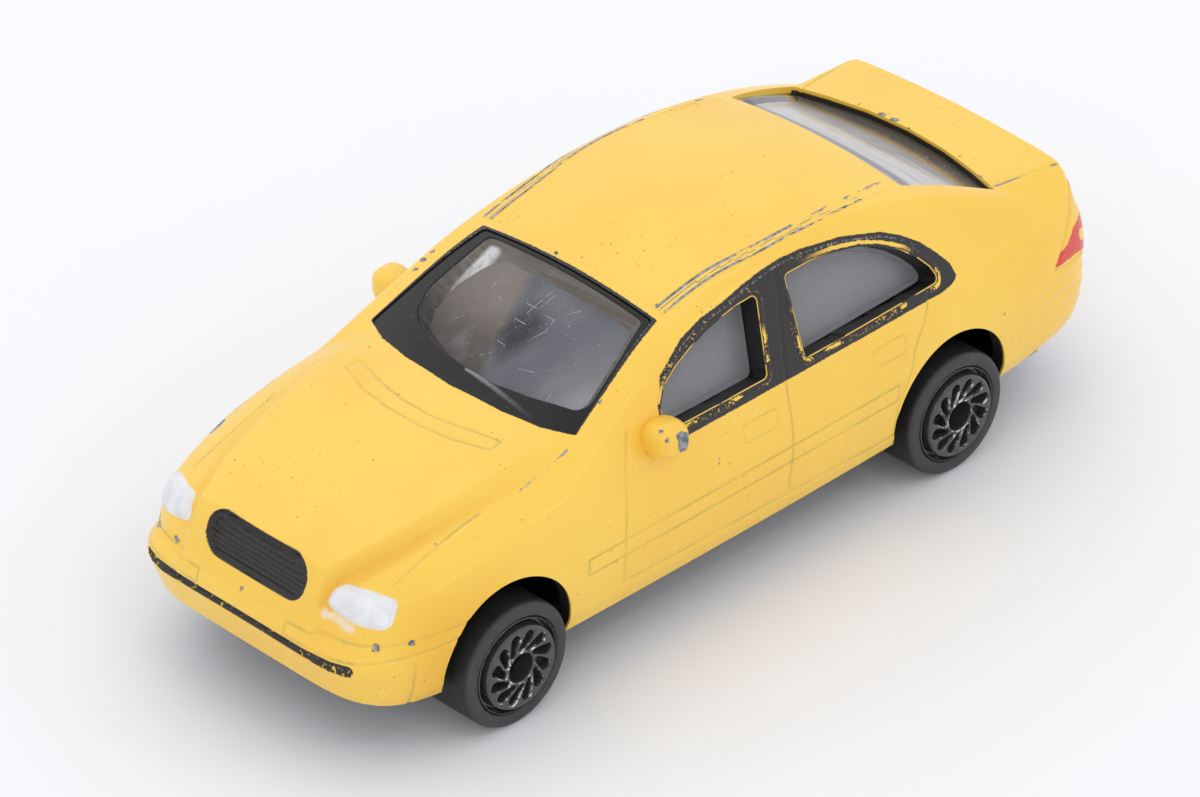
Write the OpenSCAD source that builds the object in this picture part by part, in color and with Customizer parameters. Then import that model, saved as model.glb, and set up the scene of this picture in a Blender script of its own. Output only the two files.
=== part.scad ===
// Toy saloon car: a die-cast shell, a clear window moulding, a seat tub and a base plate,
// held together by two posts spun over under the base, on two wheel sets that turn freely.
// X points to the front of the car, Y to its left, Z up. The tyres stand on Z = 0.
// Heights of the body are measured up from the axle line, places along it from mid-length.

/* [Overall] */
// Length over the bumpers
car_length = 75; // [74:0.5:76]
// Width over the doors, without the mirrors
body_width = 29; // [28.6:0.2:29.6]
// Distance between the axles
wheelbase = 45; // [44:0.5:46]
// Front axle behind the tip of the front bumper
front_overhang = 13.2; // [12.8:0.1:13.6]
// Top of the roof above the axle line
roof_rise = 19.95; // [19.55:0.1:20.45]

/* [Shell] */
// Wall of the casting
wall = 1.2; // [1:0.1:1.3]
// Radius of the wheel arches
arch_r = 5.9; // [5.8:0.1:6.1]
// Centre of the wheel arches above the axle line
arch_rise = 1; // [0.8:0.1:1.2]
// Diameter of the posts cast under the bonnet and the boot
post_d = 3.2; // [3:0.1:3.6]
// Diameter of the post ends that pass through the base
pin_d = 2; // [1.8:0.1:2.2]

/* [Windows] */
// Thickness of the window moulding
glass = 0.9; // [0.7:0.1:1]
// Depth of the panes below the painted skin
pane_depth = 0.6; // [0.5:0.1:0.8]

/* [Base] */
// Thickness of the base plate
plate_t = 1.2; // [1:0.1:1.3]
// Underside of the base plate below the axle line
plate_drop = 2; // [1.9:0.1:2.3]
// Length of the flat pad under the middle of the base
pad_l = 24; // [20:1:26]
// Width of that pad
pad_w = 14; // [10:1:15]

/* [Wheels] */
// Diameter of the tyres
tyre_d = 10; // [9.8:0.1:10.2]
// Width of the tyres
tyre_w = 6; // [5.6:0.1:6.2]
// Distance over the outer faces of the left and right tyres
track_out = 29.4; // [29.2:0.1:29.8]
// Diameter of the hub where the tyre sits on it
hub_d = 7.7; // [7.5:0.1:7.8]
// Slots in each wheel face
slot_count = 12; // [9:1:13]
// Turn of each slot from its inner to its outer end, degrees
slot_swirl = 20; // [10:1:30]
// Diameter of the axle wire
axle_d = 1.2; // [1:0.1:1.4]

/* [Fits] */
// Room round an axle in its bearings
axle_gap = 0.06; // [0.03:0.01:0.1]
// Room between mouldings that sit inside one another
seat_gap = 0.12; // [0.1:0.02:0.2]
// Room on a press fit
press_gap = 0.01; // [0.005:0.005:0.02]

/* [Hidden] */

half_len = car_length / 2;
half_wid = body_width / 2;
axle_z = tyre_d / 2;
front_axle_x = half_len - front_overhang;
rear_axle_x = front_axle_x - wheelbase;
wheel_in = track_out / 2 - tyre_w;

// The skin, side zone: how far the bumpers and the flanks stand back from the overall
// length and width, from the lower edge (0) to the shoulder (1)
front_setback = [[0, 0.9], [0.25, 0.3], [0.375, 0], [0.5, 0.3], [0.58, 1.1], [0.8, 1.7], [1, 2.4]];
rear_setback = [[0, 0.4], [0.15, 0.1], [0.25, 0], [0.35, 0.1], [0.5, 0.2], [0.7, 0.4], [1, 1.5]];
flank_setin = [[0, 0.8], [0.12, 0.4], [0.5, 0], [0.75, 0.15], [1, 0.6]];
// Corner squareness of the plan outline, front and rear
front_square = 7.5;
rear_square = 12;
// Share of the width lost towards the ends of the plan outline
front_taper = 0.045;
rear_taper = 0.02;
taper_power = 2.5;
// Lower edge of the body along its length, above the axle line
sill_line = [[-37.5, 1.2], [-28, 0.2], [-15, -0.4], [16, -0.4], [31, -0.2], [34, 0.05], [37.5, 1]];
// Bonnet and boot along the middle, and the shoulder edge beside them
deck_line = [[-37.5, 14], [-29.5, 14.35], [-15, 13.6], [5, 13.2], [17, 13.5], [22, 13],
             [30, 11.4], [35.4, 9.7], [37.5, 8.6]];
shoulder_line = [[-37.5, 10.6], [-25, 10.9], [0, 10.8], [14, 10.7], [24, 10.3], [33, 8.1], [37.5, 6.8]];
shoulder_slope = [[-37, 1.05], [-20, 1], [12, 0.8], [25, 0.65], [36, 0.7]];
shoulder_blend = [[-37, 0.5], [-26, 0.6], [-15, 2], [15, 3], [36, 2.5]];
shoulder_in = 0.6;
deck_crown = 0.0035;
// Raised middle of the bonnet: half width and height of its step
bonnet_half = [[14, 10.8], [22, 9.8], [30, 8.4], [36, 6.6]];
bonnet_step = [[9, 0], [16, 0], [22, 0.35], [30, 0.75], [36, 1]];
bonnet_step_run = 1.1;
// Cabin: roof arch, windscreen, rear window and side planes
roof_mid_x = -7.8;
roof_arch = 0.0108;
roof_crown = 0.008;
screen_top = [5.7, 18.7];
screen_fall = 0.47;
screen_crown = 0.012;
back_top = [-20.3, 18.75];
back_fall = 0.47;
back_crown = 0.004;
belt_rise = 10.9;
belt_in = 0.55;
belt_mid_x = -3;
belt_bow = 0.0011;
side_steep = 2.43;
pillar_blend = 0.5;
cant_blend = 2.6;
// Spine on which the top zone's lines meet, and how they crowd towards the flanks
spine_half = 30.5;
crowding = 1.5;

// Window openings: corner points along the car and above the axle line (sides), or along
// and across the car (screens), each rounded by its corner radius
window_r = 0.35;
front_door_window = [[7.75, 12.1], [6.9, 14.5], [3.9, 15.75], [0.3, 16.7], [-2.6, 16.9], [-1.6, 12.1]];
rear_door_window = [[-6.45, 17.1], [-6.2, 11.95], [-19.5, 11.95], [-18.4, 13.5], [-15.3, 15.6], [-11, 16.9]];
screen_window = [[5.2, 8.5], [14.3, 10.25], [15.3, 8], [16, 5], [16.3, 0]];
back_window = [[-21, 8.6], [-29.1, 10.1]];
window_floor = 11.3;
window_reach = 8;

// Front openings: grille and bumper slot
grille_rise = 8.1;
grille_half = [3.8, 0.3];
grille_r = 1.45;
slot_rise = 3.7;
slot_half = 10.4;
slot_r = 0.5;
pocket_depth = 0.45;

// Door mirrors
mirror_x = 8.9;
mirror_rise = 12;
mirror_reach = 15.9;
mirror_r = 1.15;
mirror_foot_r = 0.9;

// Posts, seats and base
front_post_x = 29.2;
rear_post_x = -31.2;
boss_rise = 1;
boss_d = 5.2;
head_d = 3.2;
head_t = 0.6;
head_recess = 0.9;
plate_front = 29;
plate_rear = -31;
lip_run = 6.3;
lip_rise = 1.3;
rim_t = 1.8;
rim_rise = 0.9;
rim_stop = 1;
rim_span = [plate_rear + rim_stop, plate_front - rim_stop];
keel_half = 10.4;
keel_rise = 0.25;
well_half = 5.9;
well_room = 0.5;
well_y = wheel_in - well_room;
lug_half = 1.7;
lug_y = [4.6, 7.6];
lug_rise = 1.5;
pad_t = 0.3;
groove_w = 1.6;
groove_depth = 0.4;
tub_rise = 1.7;
tub_t = 0.8;
tub_front_room = 8.3;
tub_front = front_axle_x - tub_front_room;
tub_tail = 6.3;
tail_room = 10.5;
tub_rear = max(rear_axle_x - tub_tail, tail_room - half_len);
tub_side_room = 3.1;
tub_half = half_wid - tub_side_room;
tub_room = 0.8;
tub_waist = wheel_in - tub_room;
tub_rear_room = 7.1;
tub_wide = [rear_axle_x + tub_rear_room, tub_front];
rim_top = 10.5;
rim_room = [1, 6.4];
rim_wide = [tub_wide[0] + rim_room[0], tub_front - rim_room[1]];
glass_floor = rim_top + seat_gap;
glass_span = [-28.9, 16.9];
shelf_l = 6;
shelf_x = tub_rear + shelf_l;
foot_d = 2.4;
seat_x = [2.6, -11.5];
seat_y = 5.1;
seat_w = 6.4;
seat_round = 0.8;
dash_l = 3.8;
dash_x = tub_front - dash_l;
dash_h = 9.1;
steer_d = 5;
steer_t = 0.7;

// Wheel details
shoulder_r = 0.8;
hub_proud = 0.4;
hub_face_r = 2.95;
rim_in_r = 3.4;
channel_depth = 0.8;
hub_hole_r = 1.1;
hub_hole_depth = 2;
hub_web = 2.2;
boss_r = 1.5;
hub_inset = 0.6;
slot_depth = 0.9;
slot_in = [1.5, 0.19];
slot_out = [2.45, 0.35];
axle_end = 0.2;
arc_steps = 6;

// Facets: intervals round half the plan outline (front, flank, rear), and rows up the side and top
fine_cols = [8, 38, 8];
fine_rows = [8, 18];
plain_cols = [4, 20, 4];
plain_rows = [4, 9];

// A smooth curve through [place, value] pairs, level beyond its ends
function slope(p, i) =
    let (a = max(i - 1, 0), b = min(i + 1, len(p) - 1))
    (p[b][1] - p[a][1]) / (p[b][0] - p[a][0]);
function span(x, p, i = 0) = i >= len(p) - 2 || x < p[i + 1][0] ? i : span(x, p, i + 1);
function curve(x, p) =
    let (q = min(max(x, p[0][0]), p[len(p) - 1][0]), i = span(q, p), w = p[i + 1][0] - p[i][0],
         t = (q - p[i][0]) / w)
    (2 * t^3 - 3 * t^2 + 1) * p[i][1] + (t^3 - 2 * t^2 + t) * w * slope(p, i)
    + (3 * t^2 - 2 * t^3) * p[i + 1][1] + (t^3 - t^2) * w * slope(p, i + 1);

// The lower, or the higher, of two surfaces with the edge between them rounded over k
function soft_min(a, b, k) = min(a, b) - max(k - abs(a - b), 0)^3 / (6 * k^2);
function soft_max(a, b, k) = -soft_min(-a, -b, k);
function ease(t) = let (q = min(max(t, 0), 1)) q * q * (3 - 2 * q);
function mix(a, b, t) = a * (1 - t) + b * t;
// Drop that sets a sloping surface back by a distance square to itself
function set_down(inset, fall) = inset * sqrt(1 + fall * fall);

// Share of the full width left at a place along the car
function taper(x) = 1 - (x > 0 ? front_taper : rear_taper) * (abs(x) / half_len)^taper_power;

// Height of bonnet, wings and boot above the axle line
function deck(x, y, inset) =
    let (fall = curve(x, shoulder_slope),
         wing = curve(x, shoulder_line) + ((half_wid - shoulder_in) * taper(x) - abs(y)) * fall,
         plate = curve(x, deck_line) - deck_crown * y * y,
         past = (abs(y) - curve(x, bonnet_half)) / bonnet_step_run + 0.5)
    soft_min(plate - inset, wing - set_down(inset, fall), curve(x, shoulder_blend))
    - curve(x, bonnet_step) * ease(past);

// Height of roof, screens and side windows above the axle line
function cabin(x, y, inset) =
    let (roof = roof_rise - roof_arch * (x - roof_mid_x)^2 - roof_crown * y * y - inset,
         screen = screen_top[1] - screen_fall * (x - screen_top[0]) - screen_crown * y * y
                  - set_down(inset, screen_fall),
         back = back_top[1] + back_fall * (x - back_top[0]) - back_crown * y * y
                - set_down(inset, back_fall),
         side = belt_rise + (half_wid - belt_in - belt_bow * (x - belt_mid_x)^2 - abs(y)) * side_steep
                - set_down(inset, side_steep))
    soft_min(soft_min(soft_min(screen, roof, pillar_blend), back, pillar_blend), side, cant_blend);

function top(x, y, inset) = soft_max(deck(x, y, inset), cabin(x, y, inset), pillar_blend);

// A point on the plan outline, walking evenly round half a box from front to rear and drawn in
// to a rounded box; [along, across, share of the walk], the first two as shares of the half sizes
function plan(i, cols) =
    let (n = cols[0] + cols[1] + cols[2],
         box = i <= cols[0] ? [1, i / cols[0]]
             : i <= cols[0] + cols[1] ? [1 - 2 * (i - cols[0]) / cols[1], 1]
             : [-1, (n - i) / cols[2]],
         square = box[0] > 0 ? front_square : rear_square,
         r = (abs(box[0])^square + box[1]^square)^(-1 / square))
    [box[0] * r, box[1] * r, i / n];

function flank_xy(p, v, inset) =
    let (x = p[0] * (half_len - inset - curve(v, p[0] > 0 ? front_setback : rear_setback)))
    [x, p[1] * (half_wid - inset - curve(v, flank_setin)) * taper(x)];

function flank_point(p, v, inset, cut) =
    let (q = flank_xy(p, v, inset), s = flank_xy(p, 1, inset), low = curve(q[0], sill_line) - cut)
    [q[0], q[1], mix(low, deck(s[0], s[1], inset), v)];

function top_point(p, t, inset) =
    let (s = flank_xy(p, 1, inset), x = mix(s[0], spine_half * (1 - 2 * p[2]), t), y = s[1] * (1 - t))
    [x, y, top(x, y, inset)];

// Mirror image in the car's long middle plane
function flip(p) = [p[0], -p[1], p[2]];

// A closed solid under the skin set in by a distance, its lower edge cut lower by another
module skin(inset, cut, cols, rows) {
    n = cols[0] + cols[1] + cols[2];
    m = 2 * n;
    plans = [for (i = [0:n]) plan(i, cols)];
    flank_rows = [for (r = [0:rows[0]]) [for (p = plans) flank_point(p, r / rows[0], inset, cut)]];
    top_rows = [for (r = [1:rows[1]]) [for (p = plans) top_point(p, (r / rows[1])^crowding, inset)]];
    halves = concat(flank_rows, top_rows);
    last = len(halves) - 1;
    points = [for (r = [0:last - 1]) for (j = [0:m - 1]) j <= n ? halves[r][j] : flip(halves[r][m - j])];
    ridge = halves[last];
    base = len(points);
    at = function(r, j) r < last ? r * m + j % m : base + (j <= n ? j : m - j);
    sides = [for (r = [0:last - 1]) for (j = [0:m - 1]) for (f = [0:1])
        f == 0 ? [at(r, j), at(r + 1, j), at(r + 1, j + 1)] : [at(r, j), at(r + 1, j + 1), at(r, j + 1)]];
    floor_left = [for (i = [0:n - 1]) [i, i + 1, (m - i - 1) % m]];
    floor_right = [for (i = [1:n - 1]) [i, m - i - 1, m - i]];
    translate([0, 0, axle_z])
        polyhedron(concat(points, ridge), concat(sides, [for (f = floor_left) if (f[1] != f[2]) f], floor_right),
                   convexity = 10);
}

module both_sides() {
    children();
    mirror([0, 1, 0]) children();
}

module side_window(points, grow) {
    hull()
        for (p = points)
            translate([p[0], window_reach, axle_z + p[1]])
                rotate([-90, 0, 0])
                    cylinder(r = window_r + grow, h = window_reach, $fn = 16);
}

module screen(points, grow) {
    hull()
        both_sides()
            for (p = points)
                translate([p[0], p[1], axle_z + window_floor])
                    cylinder(r = window_r + grow, h = roof_rise, $fn = 16);
}

module window_prisms(grow) {
    both_sides() {
        side_window(front_door_window, grow);
        side_window(rear_door_window, grow);
    }
    screen(screen_window, grow);
    screen(back_window, grow);
}

module arches() {
    for (x = [front_axle_x, rear_axle_x])
        translate([x, 0, axle_z + arch_rise])
            both_sides()
                translate([0, well_y, 0])
                    rotate([-90, 0, 0])
                        cylinder(r = arch_r, h = half_wid, $fn = 64);
}

// A shallow rounded pocket in the nose, following the nose by being cut against its inset skin
module nose_pocket(half_y, half_z, r, rise) {
    hull()
        for (y = [-half_y, half_y], z = [-half_z, half_z])
            translate([half_len / 2, y, axle_z + rise + z])
                rotate([0, 90, 0])
                    cylinder(r = r, h = half_len, $fn = 24);
}

module nose_pockets() {
    difference() {
        union() {
            nose_pocket(grille_half[0], grille_half[1], grille_r, grille_rise);
            nose_pocket(slot_half, 0, slot_r, slot_rise);
        }
        skin(pocket_depth, 0, plain_cols, plain_rows);
    }
}

module door_mirror() {
    hull() {
        translate([mirror_x, mirror_reach - mirror_r, axle_z + mirror_rise])
            sphere(r = mirror_r, $fn = 20);
        translate([mirror_x + mirror_foot_r, half_wid - mirror_r - wall, axle_z + mirror_rise - mirror_foot_r])
            sphere(r = mirror_foot_r, $fn = 16);
    }
}

// A post from under the skin to the boss of the base, its pin, and the head spun over below
module post(x) {
    seat = axle_z + boss_rise;
    head_top = axle_z - plate_drop + head_recess;
    translate([x, 0, 0]) {
        translate([0, 0, seat])
            cylinder(d = post_d, h = axle_z + top(x, 0, wall / 2) - seat, $fn = 32);
        translate([0, 0, head_top - head_t])
            cylinder(d = head_d, h = head_t, $fn = 32);
        translate([0, 0, head_top])
            cylinder(d = pin_d, h = seat - head_top, $fn = 32);
    }
}

module body_shell() {
    color("gold") {
        difference() {
            union() {
                skin(0, 0, fine_cols, fine_rows);
                both_sides() door_mirror();
            }
            skin(wall, wall, plain_cols, plain_rows);
            window_prisms(0);
            arches();
            nose_pockets();
        }
        post(front_post_x);
        post(rear_post_x);
    }
}

module window_moulding() {
    outer = wall + seat_gap;
    color("dimgray")
        difference() {
            union() {
                intersection() {
                    skin(outer, 0, plain_cols, plain_rows);
                    translate([glass_span[0], -half_wid, axle_z + glass_floor])
                        cube([glass_span[1] - glass_span[0], body_width, roof_rise]);
                }
                intersection() {
                    skin(pane_depth, 0, plain_cols, plain_rows);
                    window_prisms(-seat_gap);
                }
            }
            skin(outer + glass, wall, plain_cols, plain_rows);
        }
}

module seat(depth, back) {
    hull()
        for (x = [seat_round, depth], y = [-1, 1])
            translate([x, y * (seat_w / 2 - seat_round), 0])
                cylinder(r = seat_round, h = depth / 2, $fn = 16);
    hull()
        for (y = [-1, 1], k = [0, 1])
            translate([-k * seat_round, y * (seat_w / 2 - seat_round), k * (back - seat_round)])
                cylinder(r = seat_round, h = seat_round, $fn = 16);
}

module seat_tub() {
    floor_z = axle_z + tub_rise;
    seat_z = floor_z + tub_t;
    wide = tub_wide[1] - tub_wide[0];
    long = tub_front - tub_rear;
    rim_l = rim_wide[1] - rim_wide[0];
    color("black") {
        translate([tub_rear, -tub_waist, floor_z])
            cube([long, 2 * tub_waist, tub_t]);
        translate([tub_wide[0], -tub_half, floor_z])
            cube([wide, 2 * tub_half, tub_t]);
        both_sides() {
            translate([rim_wide[0], tub_half - tub_t, floor_z])
                cube([rim_l, tub_t, rim_top - tub_rise]);
            translate([seat_x[0], seat_y, seat_z])
                seat(seat_w, dash_h);
            translate([seat_x[1], seat_y, seat_z])
                seat(seat_w, dash_h - seat_round);
            for (x = [tub_wide[0] + foot_d, tub_front - foot_d])
                translate([x, tub_waist - foot_d, axle_z - plate_drop + plate_t])
                    cylinder(d = foot_d, h = tub_rise + plate_drop - plate_t, $fn = 24);
        }
        translate([dash_x, -tub_waist, floor_z])
            cube([tub_front - dash_x, 2 * tub_waist, dash_h]);
        translate([tub_rear, -tub_waist, floor_z])
            cube([shelf_x - tub_rear, 2 * tub_waist, dash_h]);
        translate([dash_x, seat_y, floor_z + dash_h - steer_d / 2])
            rotate([0, -90, 0])
                cylinder(d = steer_d / 4, h = steer_t * 3, $fn = 16);
        translate([dash_x - steer_t * 2, seat_y, floor_z + dash_h - steer_d / 2])
            rotate([0, -90, 0])
                cylinder(d = steer_d, h = steer_t, $fn = 32);
    }
}

module plan_outline(inset) {
    n = plain_cols[0] + plain_cols[1] + plain_cols[2];
    half = [for (i = [0:n]) flank_xy(plan(i, plain_cols), 0, inset)];
    polygon(concat(half, [for (i = [1:n - 1]) [half[n - i][0], -half[n - i][1]]]));
}

// A slab of the base's plan outline between two heights above the axle line
module base_slab(low, high, inset) {
    translate([0, 0, axle_z + low])
        linear_extrude(high - low)
            plan_outline(inset);
}

// The base seen from the side: flat under the car, its ends turned up behind the bumpers
module base_profile(low, high) {
    rise = plate_drop + lip_rise;
    translate([0, half_wid, axle_z])
        rotate([90, 0, 0])
            linear_extrude(body_width)
                polygon([[plate_rear - lip_run, low + rise], [plate_rear, low], [plate_front, low],
                         [plate_front + lip_run, low + rise], [plate_front + lip_run, high + rise],
                         [plate_front, high], [plate_rear, high], [plate_rear - lip_run, high + rise]]);
}

// The base seen from the end: its lower edges slope up to the sills
module base_section() {
    translate([-half_len, 0, axle_z])
        rotate([90, 0, 90])
            linear_extrude(car_length)
                polygon([[half_wid, tyre_d], [half_wid, keel_rise], [keel_half, -plate_drop],
                         [-keel_half, -plate_drop], [-half_wid, keel_rise], [-half_wid, tyre_d]]);
}

module axle_lug(x) {
    both_sides()
        translate([x - lug_half, lug_y[0], axle_z - plate_drop + plate_t])
            cube([2 * lug_half, lug_y[1] - lug_y[0], plate_drop - plate_t + lug_rise]);
}

module base_plate() {
    under = axle_z - plate_drop;
    inset = wall + seat_gap;
    plate_top = plate_t - plate_drop;
    color("#1c1c1e")
        difference() {
            union() {
                intersection() {
                    base_slab(-tyre_d, tyre_d, inset);
                    base_profile(-plate_drop, plate_top);
                    base_section();
                }
                intersection() {
                    difference() {
                        base_slab(plate_top - plate_t / 2, rim_rise, inset);
                        base_slab(-tyre_d, tyre_d, inset + rim_t);
                    }
                    base_section();
                    translate([rim_span[0], -half_wid, 0])
                        cube([rim_span[1] - rim_span[0], body_width, tyre_d]);
                }
                for (x = [front_post_x, rear_post_x])
                    translate([x, 0, under])
                        cylinder(d = boss_d, h = plate_drop + boss_rise, $fn = 48);
                axle_lug(front_axle_x);
                axle_lug(rear_axle_x);
                translate([-pad_l / 2, -pad_w / 2, under - pad_t])
                    cube([pad_l, pad_w, pad_t]);
            }
            for (x = [front_axle_x, rear_axle_x]) {
                both_sides()
                    translate([x - well_half, well_y, 0])
                        cube([2 * well_half, half_wid, tyre_d]);
                translate([x, -half_wid, axle_z])
                    rotate([-90, 0, 0])
                        cylinder(d = axle_d + 2 * axle_gap, h = body_width, $fn = 48);
                for (s = [-1, 1])
                    translate([x + s * (lug_half + groove_w), -well_y / 2, under - groove_depth])
                        cube([groove_w / 2, well_y, 2 * groove_depth]);
            }
            for (x = [front_post_x, rear_post_x])
                translate([x, 0, under - head_recess]) {
                    cylinder(d = pin_d + 2 * seat_gap, h = tyre_d, $fn = 48);
                    cylinder(d = head_d + 4 * seat_gap, h = 2 * head_recess, $fn = 48);
                }
        }
}

module axle(x) {
    end = track_out / 2 + hub_proud - hub_hole_depth + axle_end;
    color("silver")
        translate([x, -end, axle_z])
            rotate([-90, 0, 0])
                cylinder(d = axle_d, h = 2 * end, $fn = 48);
}

// Points of an arc about a centre, angles in degrees
function arc(c, r, a, b) = [for (k = [0:arc_steps]) let (t = mix(a, b, k / arc_steps)) c + r * [cos(t), sin(t)]];

// A tear-shaped slot, swept round from its narrow inner end to its wide outer end
module slot() {
    from = [slot_in[0], 0];
    to = slot_out[0] * [cos(slot_swirl), sin(slot_swirl)];
    lean = atan2(to[1] - from[1], to[0] - from[0]);
    polygon(concat(arc(to, slot_out[1], lean - 90, lean + 90), arc(from, slot_in[1], lean + 90, lean + 270)));
}

// Wheel parts stand on their inner face, with Z to the outside of the car
module hub_form() {
    r = hub_d / 2 - press_gap;
    face = tyre_w + hub_proud;
    difference() {
        rotate_extrude($fn = 96)
            polygon([[axle_d / 2 + press_gap, 0], [boss_r, 0], [boss_r, face - hub_web],
                     [rim_in_r - hub_inset / 2, face - hub_web], [rim_in_r, hub_inset], [r, hub_inset],
                     [r, tyre_w], [rim_in_r, tyre_w], [rim_in_r - hub_inset / 4, tyre_w - channel_depth],
                     [hub_face_r, tyre_w - channel_depth], [hub_face_r, face - hub_inset / 4],
                     [hub_face_r - hub_inset / 4, face], [hub_hole_r, face],
                     [hub_hole_r, face - hub_hole_depth], [axle_d / 2 + press_gap, face - hub_hole_depth]]);
        translate([0, 0, face - slot_depth])
            linear_extrude(2 * slot_depth)
                for (k = [0:slot_count - 1])
                    rotate(k * 360 / slot_count)
                        slot();
    }
}

module tyre_form() {
    r = tyre_d / 2;
    inner = hub_d / 2;
    outer_arc = arc([r - shoulder_r, tyre_w - shoulder_r], shoulder_r, 0, 90);
    inner_arc = arc([r - shoulder_r, shoulder_r], shoulder_r, -90, 0);
    rotate_extrude($fn = 96)
        polygon(concat([[inner, hub_inset], [inner + hub_inset / 4, 0]], inner_arc, outer_arc,
                       [[inner + hub_inset / 4, tyre_w], [inner, tyre_w - hub_inset / 4]]));
}

// Stands a wheel part at its axle, on the left (side 1) or the right (side -1) of the car
module at_wheel(x, side) {
    translate([x, side * wheel_in, axle_z])
        rotate([-90 * side, 0, 0])
            children();
}

module hub(x, side) {
    color("#141416") at_wheel(x, side) hub_form();
}

module tyre(x, side) {
    color("#242427") at_wheel(x, side) tyre_form();
}

module front_axle() { axle(front_axle_x); }
module rear_axle() { axle(rear_axle_x); }
module front_left_hub() { hub(front_axle_x, 1); }
module front_right_hub() { hub(front_axle_x, -1); }
module rear_left_hub() { hub(rear_axle_x, 1); }
module rear_right_hub() { hub(rear_axle_x, -1); }
module front_left_tyre() { tyre(front_axle_x, 1); }
module front_right_tyre() { tyre(front_axle_x, -1); }
module rear_left_tyre() { tyre(rear_axle_x, 1); }
module rear_right_tyre() { tyre(rear_axle_x, -1); }

body_shell();
window_moulding();
seat_tub();
base_plate();
front_axle();
rear_axle();
front_left_hub();
front_right_hub();
rear_left_hub();
rear_right_hub();
front_left_tyre();
front_right_tyre();
rear_left_tyre();
rear_right_tyre();
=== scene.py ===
import math

import bmesh
import bpy
import numpy as np
from mathutils import Matrix, Vector


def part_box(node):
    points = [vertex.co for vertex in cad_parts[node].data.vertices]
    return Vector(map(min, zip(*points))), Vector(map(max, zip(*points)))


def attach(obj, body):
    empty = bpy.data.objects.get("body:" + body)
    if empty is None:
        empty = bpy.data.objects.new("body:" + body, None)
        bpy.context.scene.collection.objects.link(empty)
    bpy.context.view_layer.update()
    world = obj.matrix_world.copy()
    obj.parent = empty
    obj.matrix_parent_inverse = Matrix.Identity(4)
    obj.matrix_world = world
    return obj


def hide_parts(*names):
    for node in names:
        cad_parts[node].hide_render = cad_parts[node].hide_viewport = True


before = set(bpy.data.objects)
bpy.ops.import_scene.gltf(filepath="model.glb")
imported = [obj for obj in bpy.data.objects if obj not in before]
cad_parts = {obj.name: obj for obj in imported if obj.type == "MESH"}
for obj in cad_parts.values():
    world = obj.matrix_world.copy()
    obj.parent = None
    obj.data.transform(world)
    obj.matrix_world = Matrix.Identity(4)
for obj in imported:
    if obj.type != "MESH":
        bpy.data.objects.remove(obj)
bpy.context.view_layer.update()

bl_info = {
    "name": "Toy Saloon Car",
    "version": (1, 0, 0),
    "blender": (4, 5, 0),
    "location": "View3D > Sidebar > Toy Car",
    "description": "Dresses a die-cast toy saloon: worn paint, recessed windows, slotted wheels and a studio",
    "category": "Add Mesh",
}

# All shapes below are in millimetres, X forward, Y to the car's left, Z up from the floor.
MM = 0.001
# A distance that stands for nowhere near, and the room left above the floor and below the packed skin
FAR = 9.0
ROOM = 0.004

def middle(node):
    """Middle of a packed node's box, in millimetres."""
    low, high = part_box(node)
    return (np.array(low) + np.array(high)) / 2 / MM


def both_sides(half):
    """An outline seen from above: its left half, then the same points on the right in reverse."""
    return half + [(x, -y) for x, y in reversed(half) if y]


FRONT_AXLE = middle("front_axle")
REAR_AXLE = middle("rear_axle")
AXLE_Z = FRONT_AXLE[2]
OUTER_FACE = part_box("front_left_tyre")[1][1] / MM
TYRE_R = AXLE_Z - ROOM

# The shell's skin: stations along or up the car and the value there.
HALF_LEN = 37.5
HALF_WID = 14.5
FRONT_SETBACK = [(0, 0.9), (0.25, 0.3), (0.375, 0), (0.5, 0.3), (0.58, 1.1), (0.8, 1.7), (1, 2.4)]
REAR_SETBACK = [(0, 0.4), (0.15, 0.1), (0.25, 0), (0.35, 0.1), (0.5, 0.2), (0.7, 0.4), (1, 1.5)]
FLANK_SETIN = [(0, 0.8), (0.12, 0.4), (0.5, 0), (0.75, 0.15), (1, 0.6)]
SILL_LINE = [(-37.5, 1.2), (-28, 0.2), (-15, -0.4), (16, -0.4), (31, -0.2), (34, 0.05), (37.5, 1)]
DECK_LINE = [(-37.5, 14), (-29.5, 14.35), (-15, 13.6), (5, 13.2), (17, 13.5), (22, 13), (30, 11.4),
             (35.4, 9.7), (37.5, 8.6)]
SHOULDER_LINE = [(-37.5, 10.6), (-25, 10.9), (0, 10.8), (14, 10.7), (24, 10.3), (33, 8.1), (37.5, 6.8)]
SHOULDER_SLOPE = [(-37, 1.05), (-20, 1), (12, 0.8), (25, 0.65), (36, 0.7)]
SHOULDER_BLEND = [(-37, 0.5), (-26, 0.6), (-15, 2), (15, 3), (36, 2.5)]
BONNET_HALF = [(14, 10.8), (22, 9.8), (30, 8.4), (36, 6.6)]
BONNET_STEP = [(9, 0), (12.5, 0), (16, 0.16), (22, 0.42), (30, 0.85), (36, 1.15)]
SLICES = ("nose", "front_wings", "scuttle", "front_doors", "rear_doors", "rear_wings", "boot", "tail")
SLICE_ENDS = (0, 0.13, 0.26, 0.375, 0.515, 0.645, 0.77, 0.88, 1)
PLAN_STEPS = (8, 38, 8)
FRONT_SQUARE = 7.5
REAR_SQUARE = 12
SPINE_HALF = 30.5
SCREEN_SLOPE = 0.47
SIDE_SLOPE = 2.43

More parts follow.
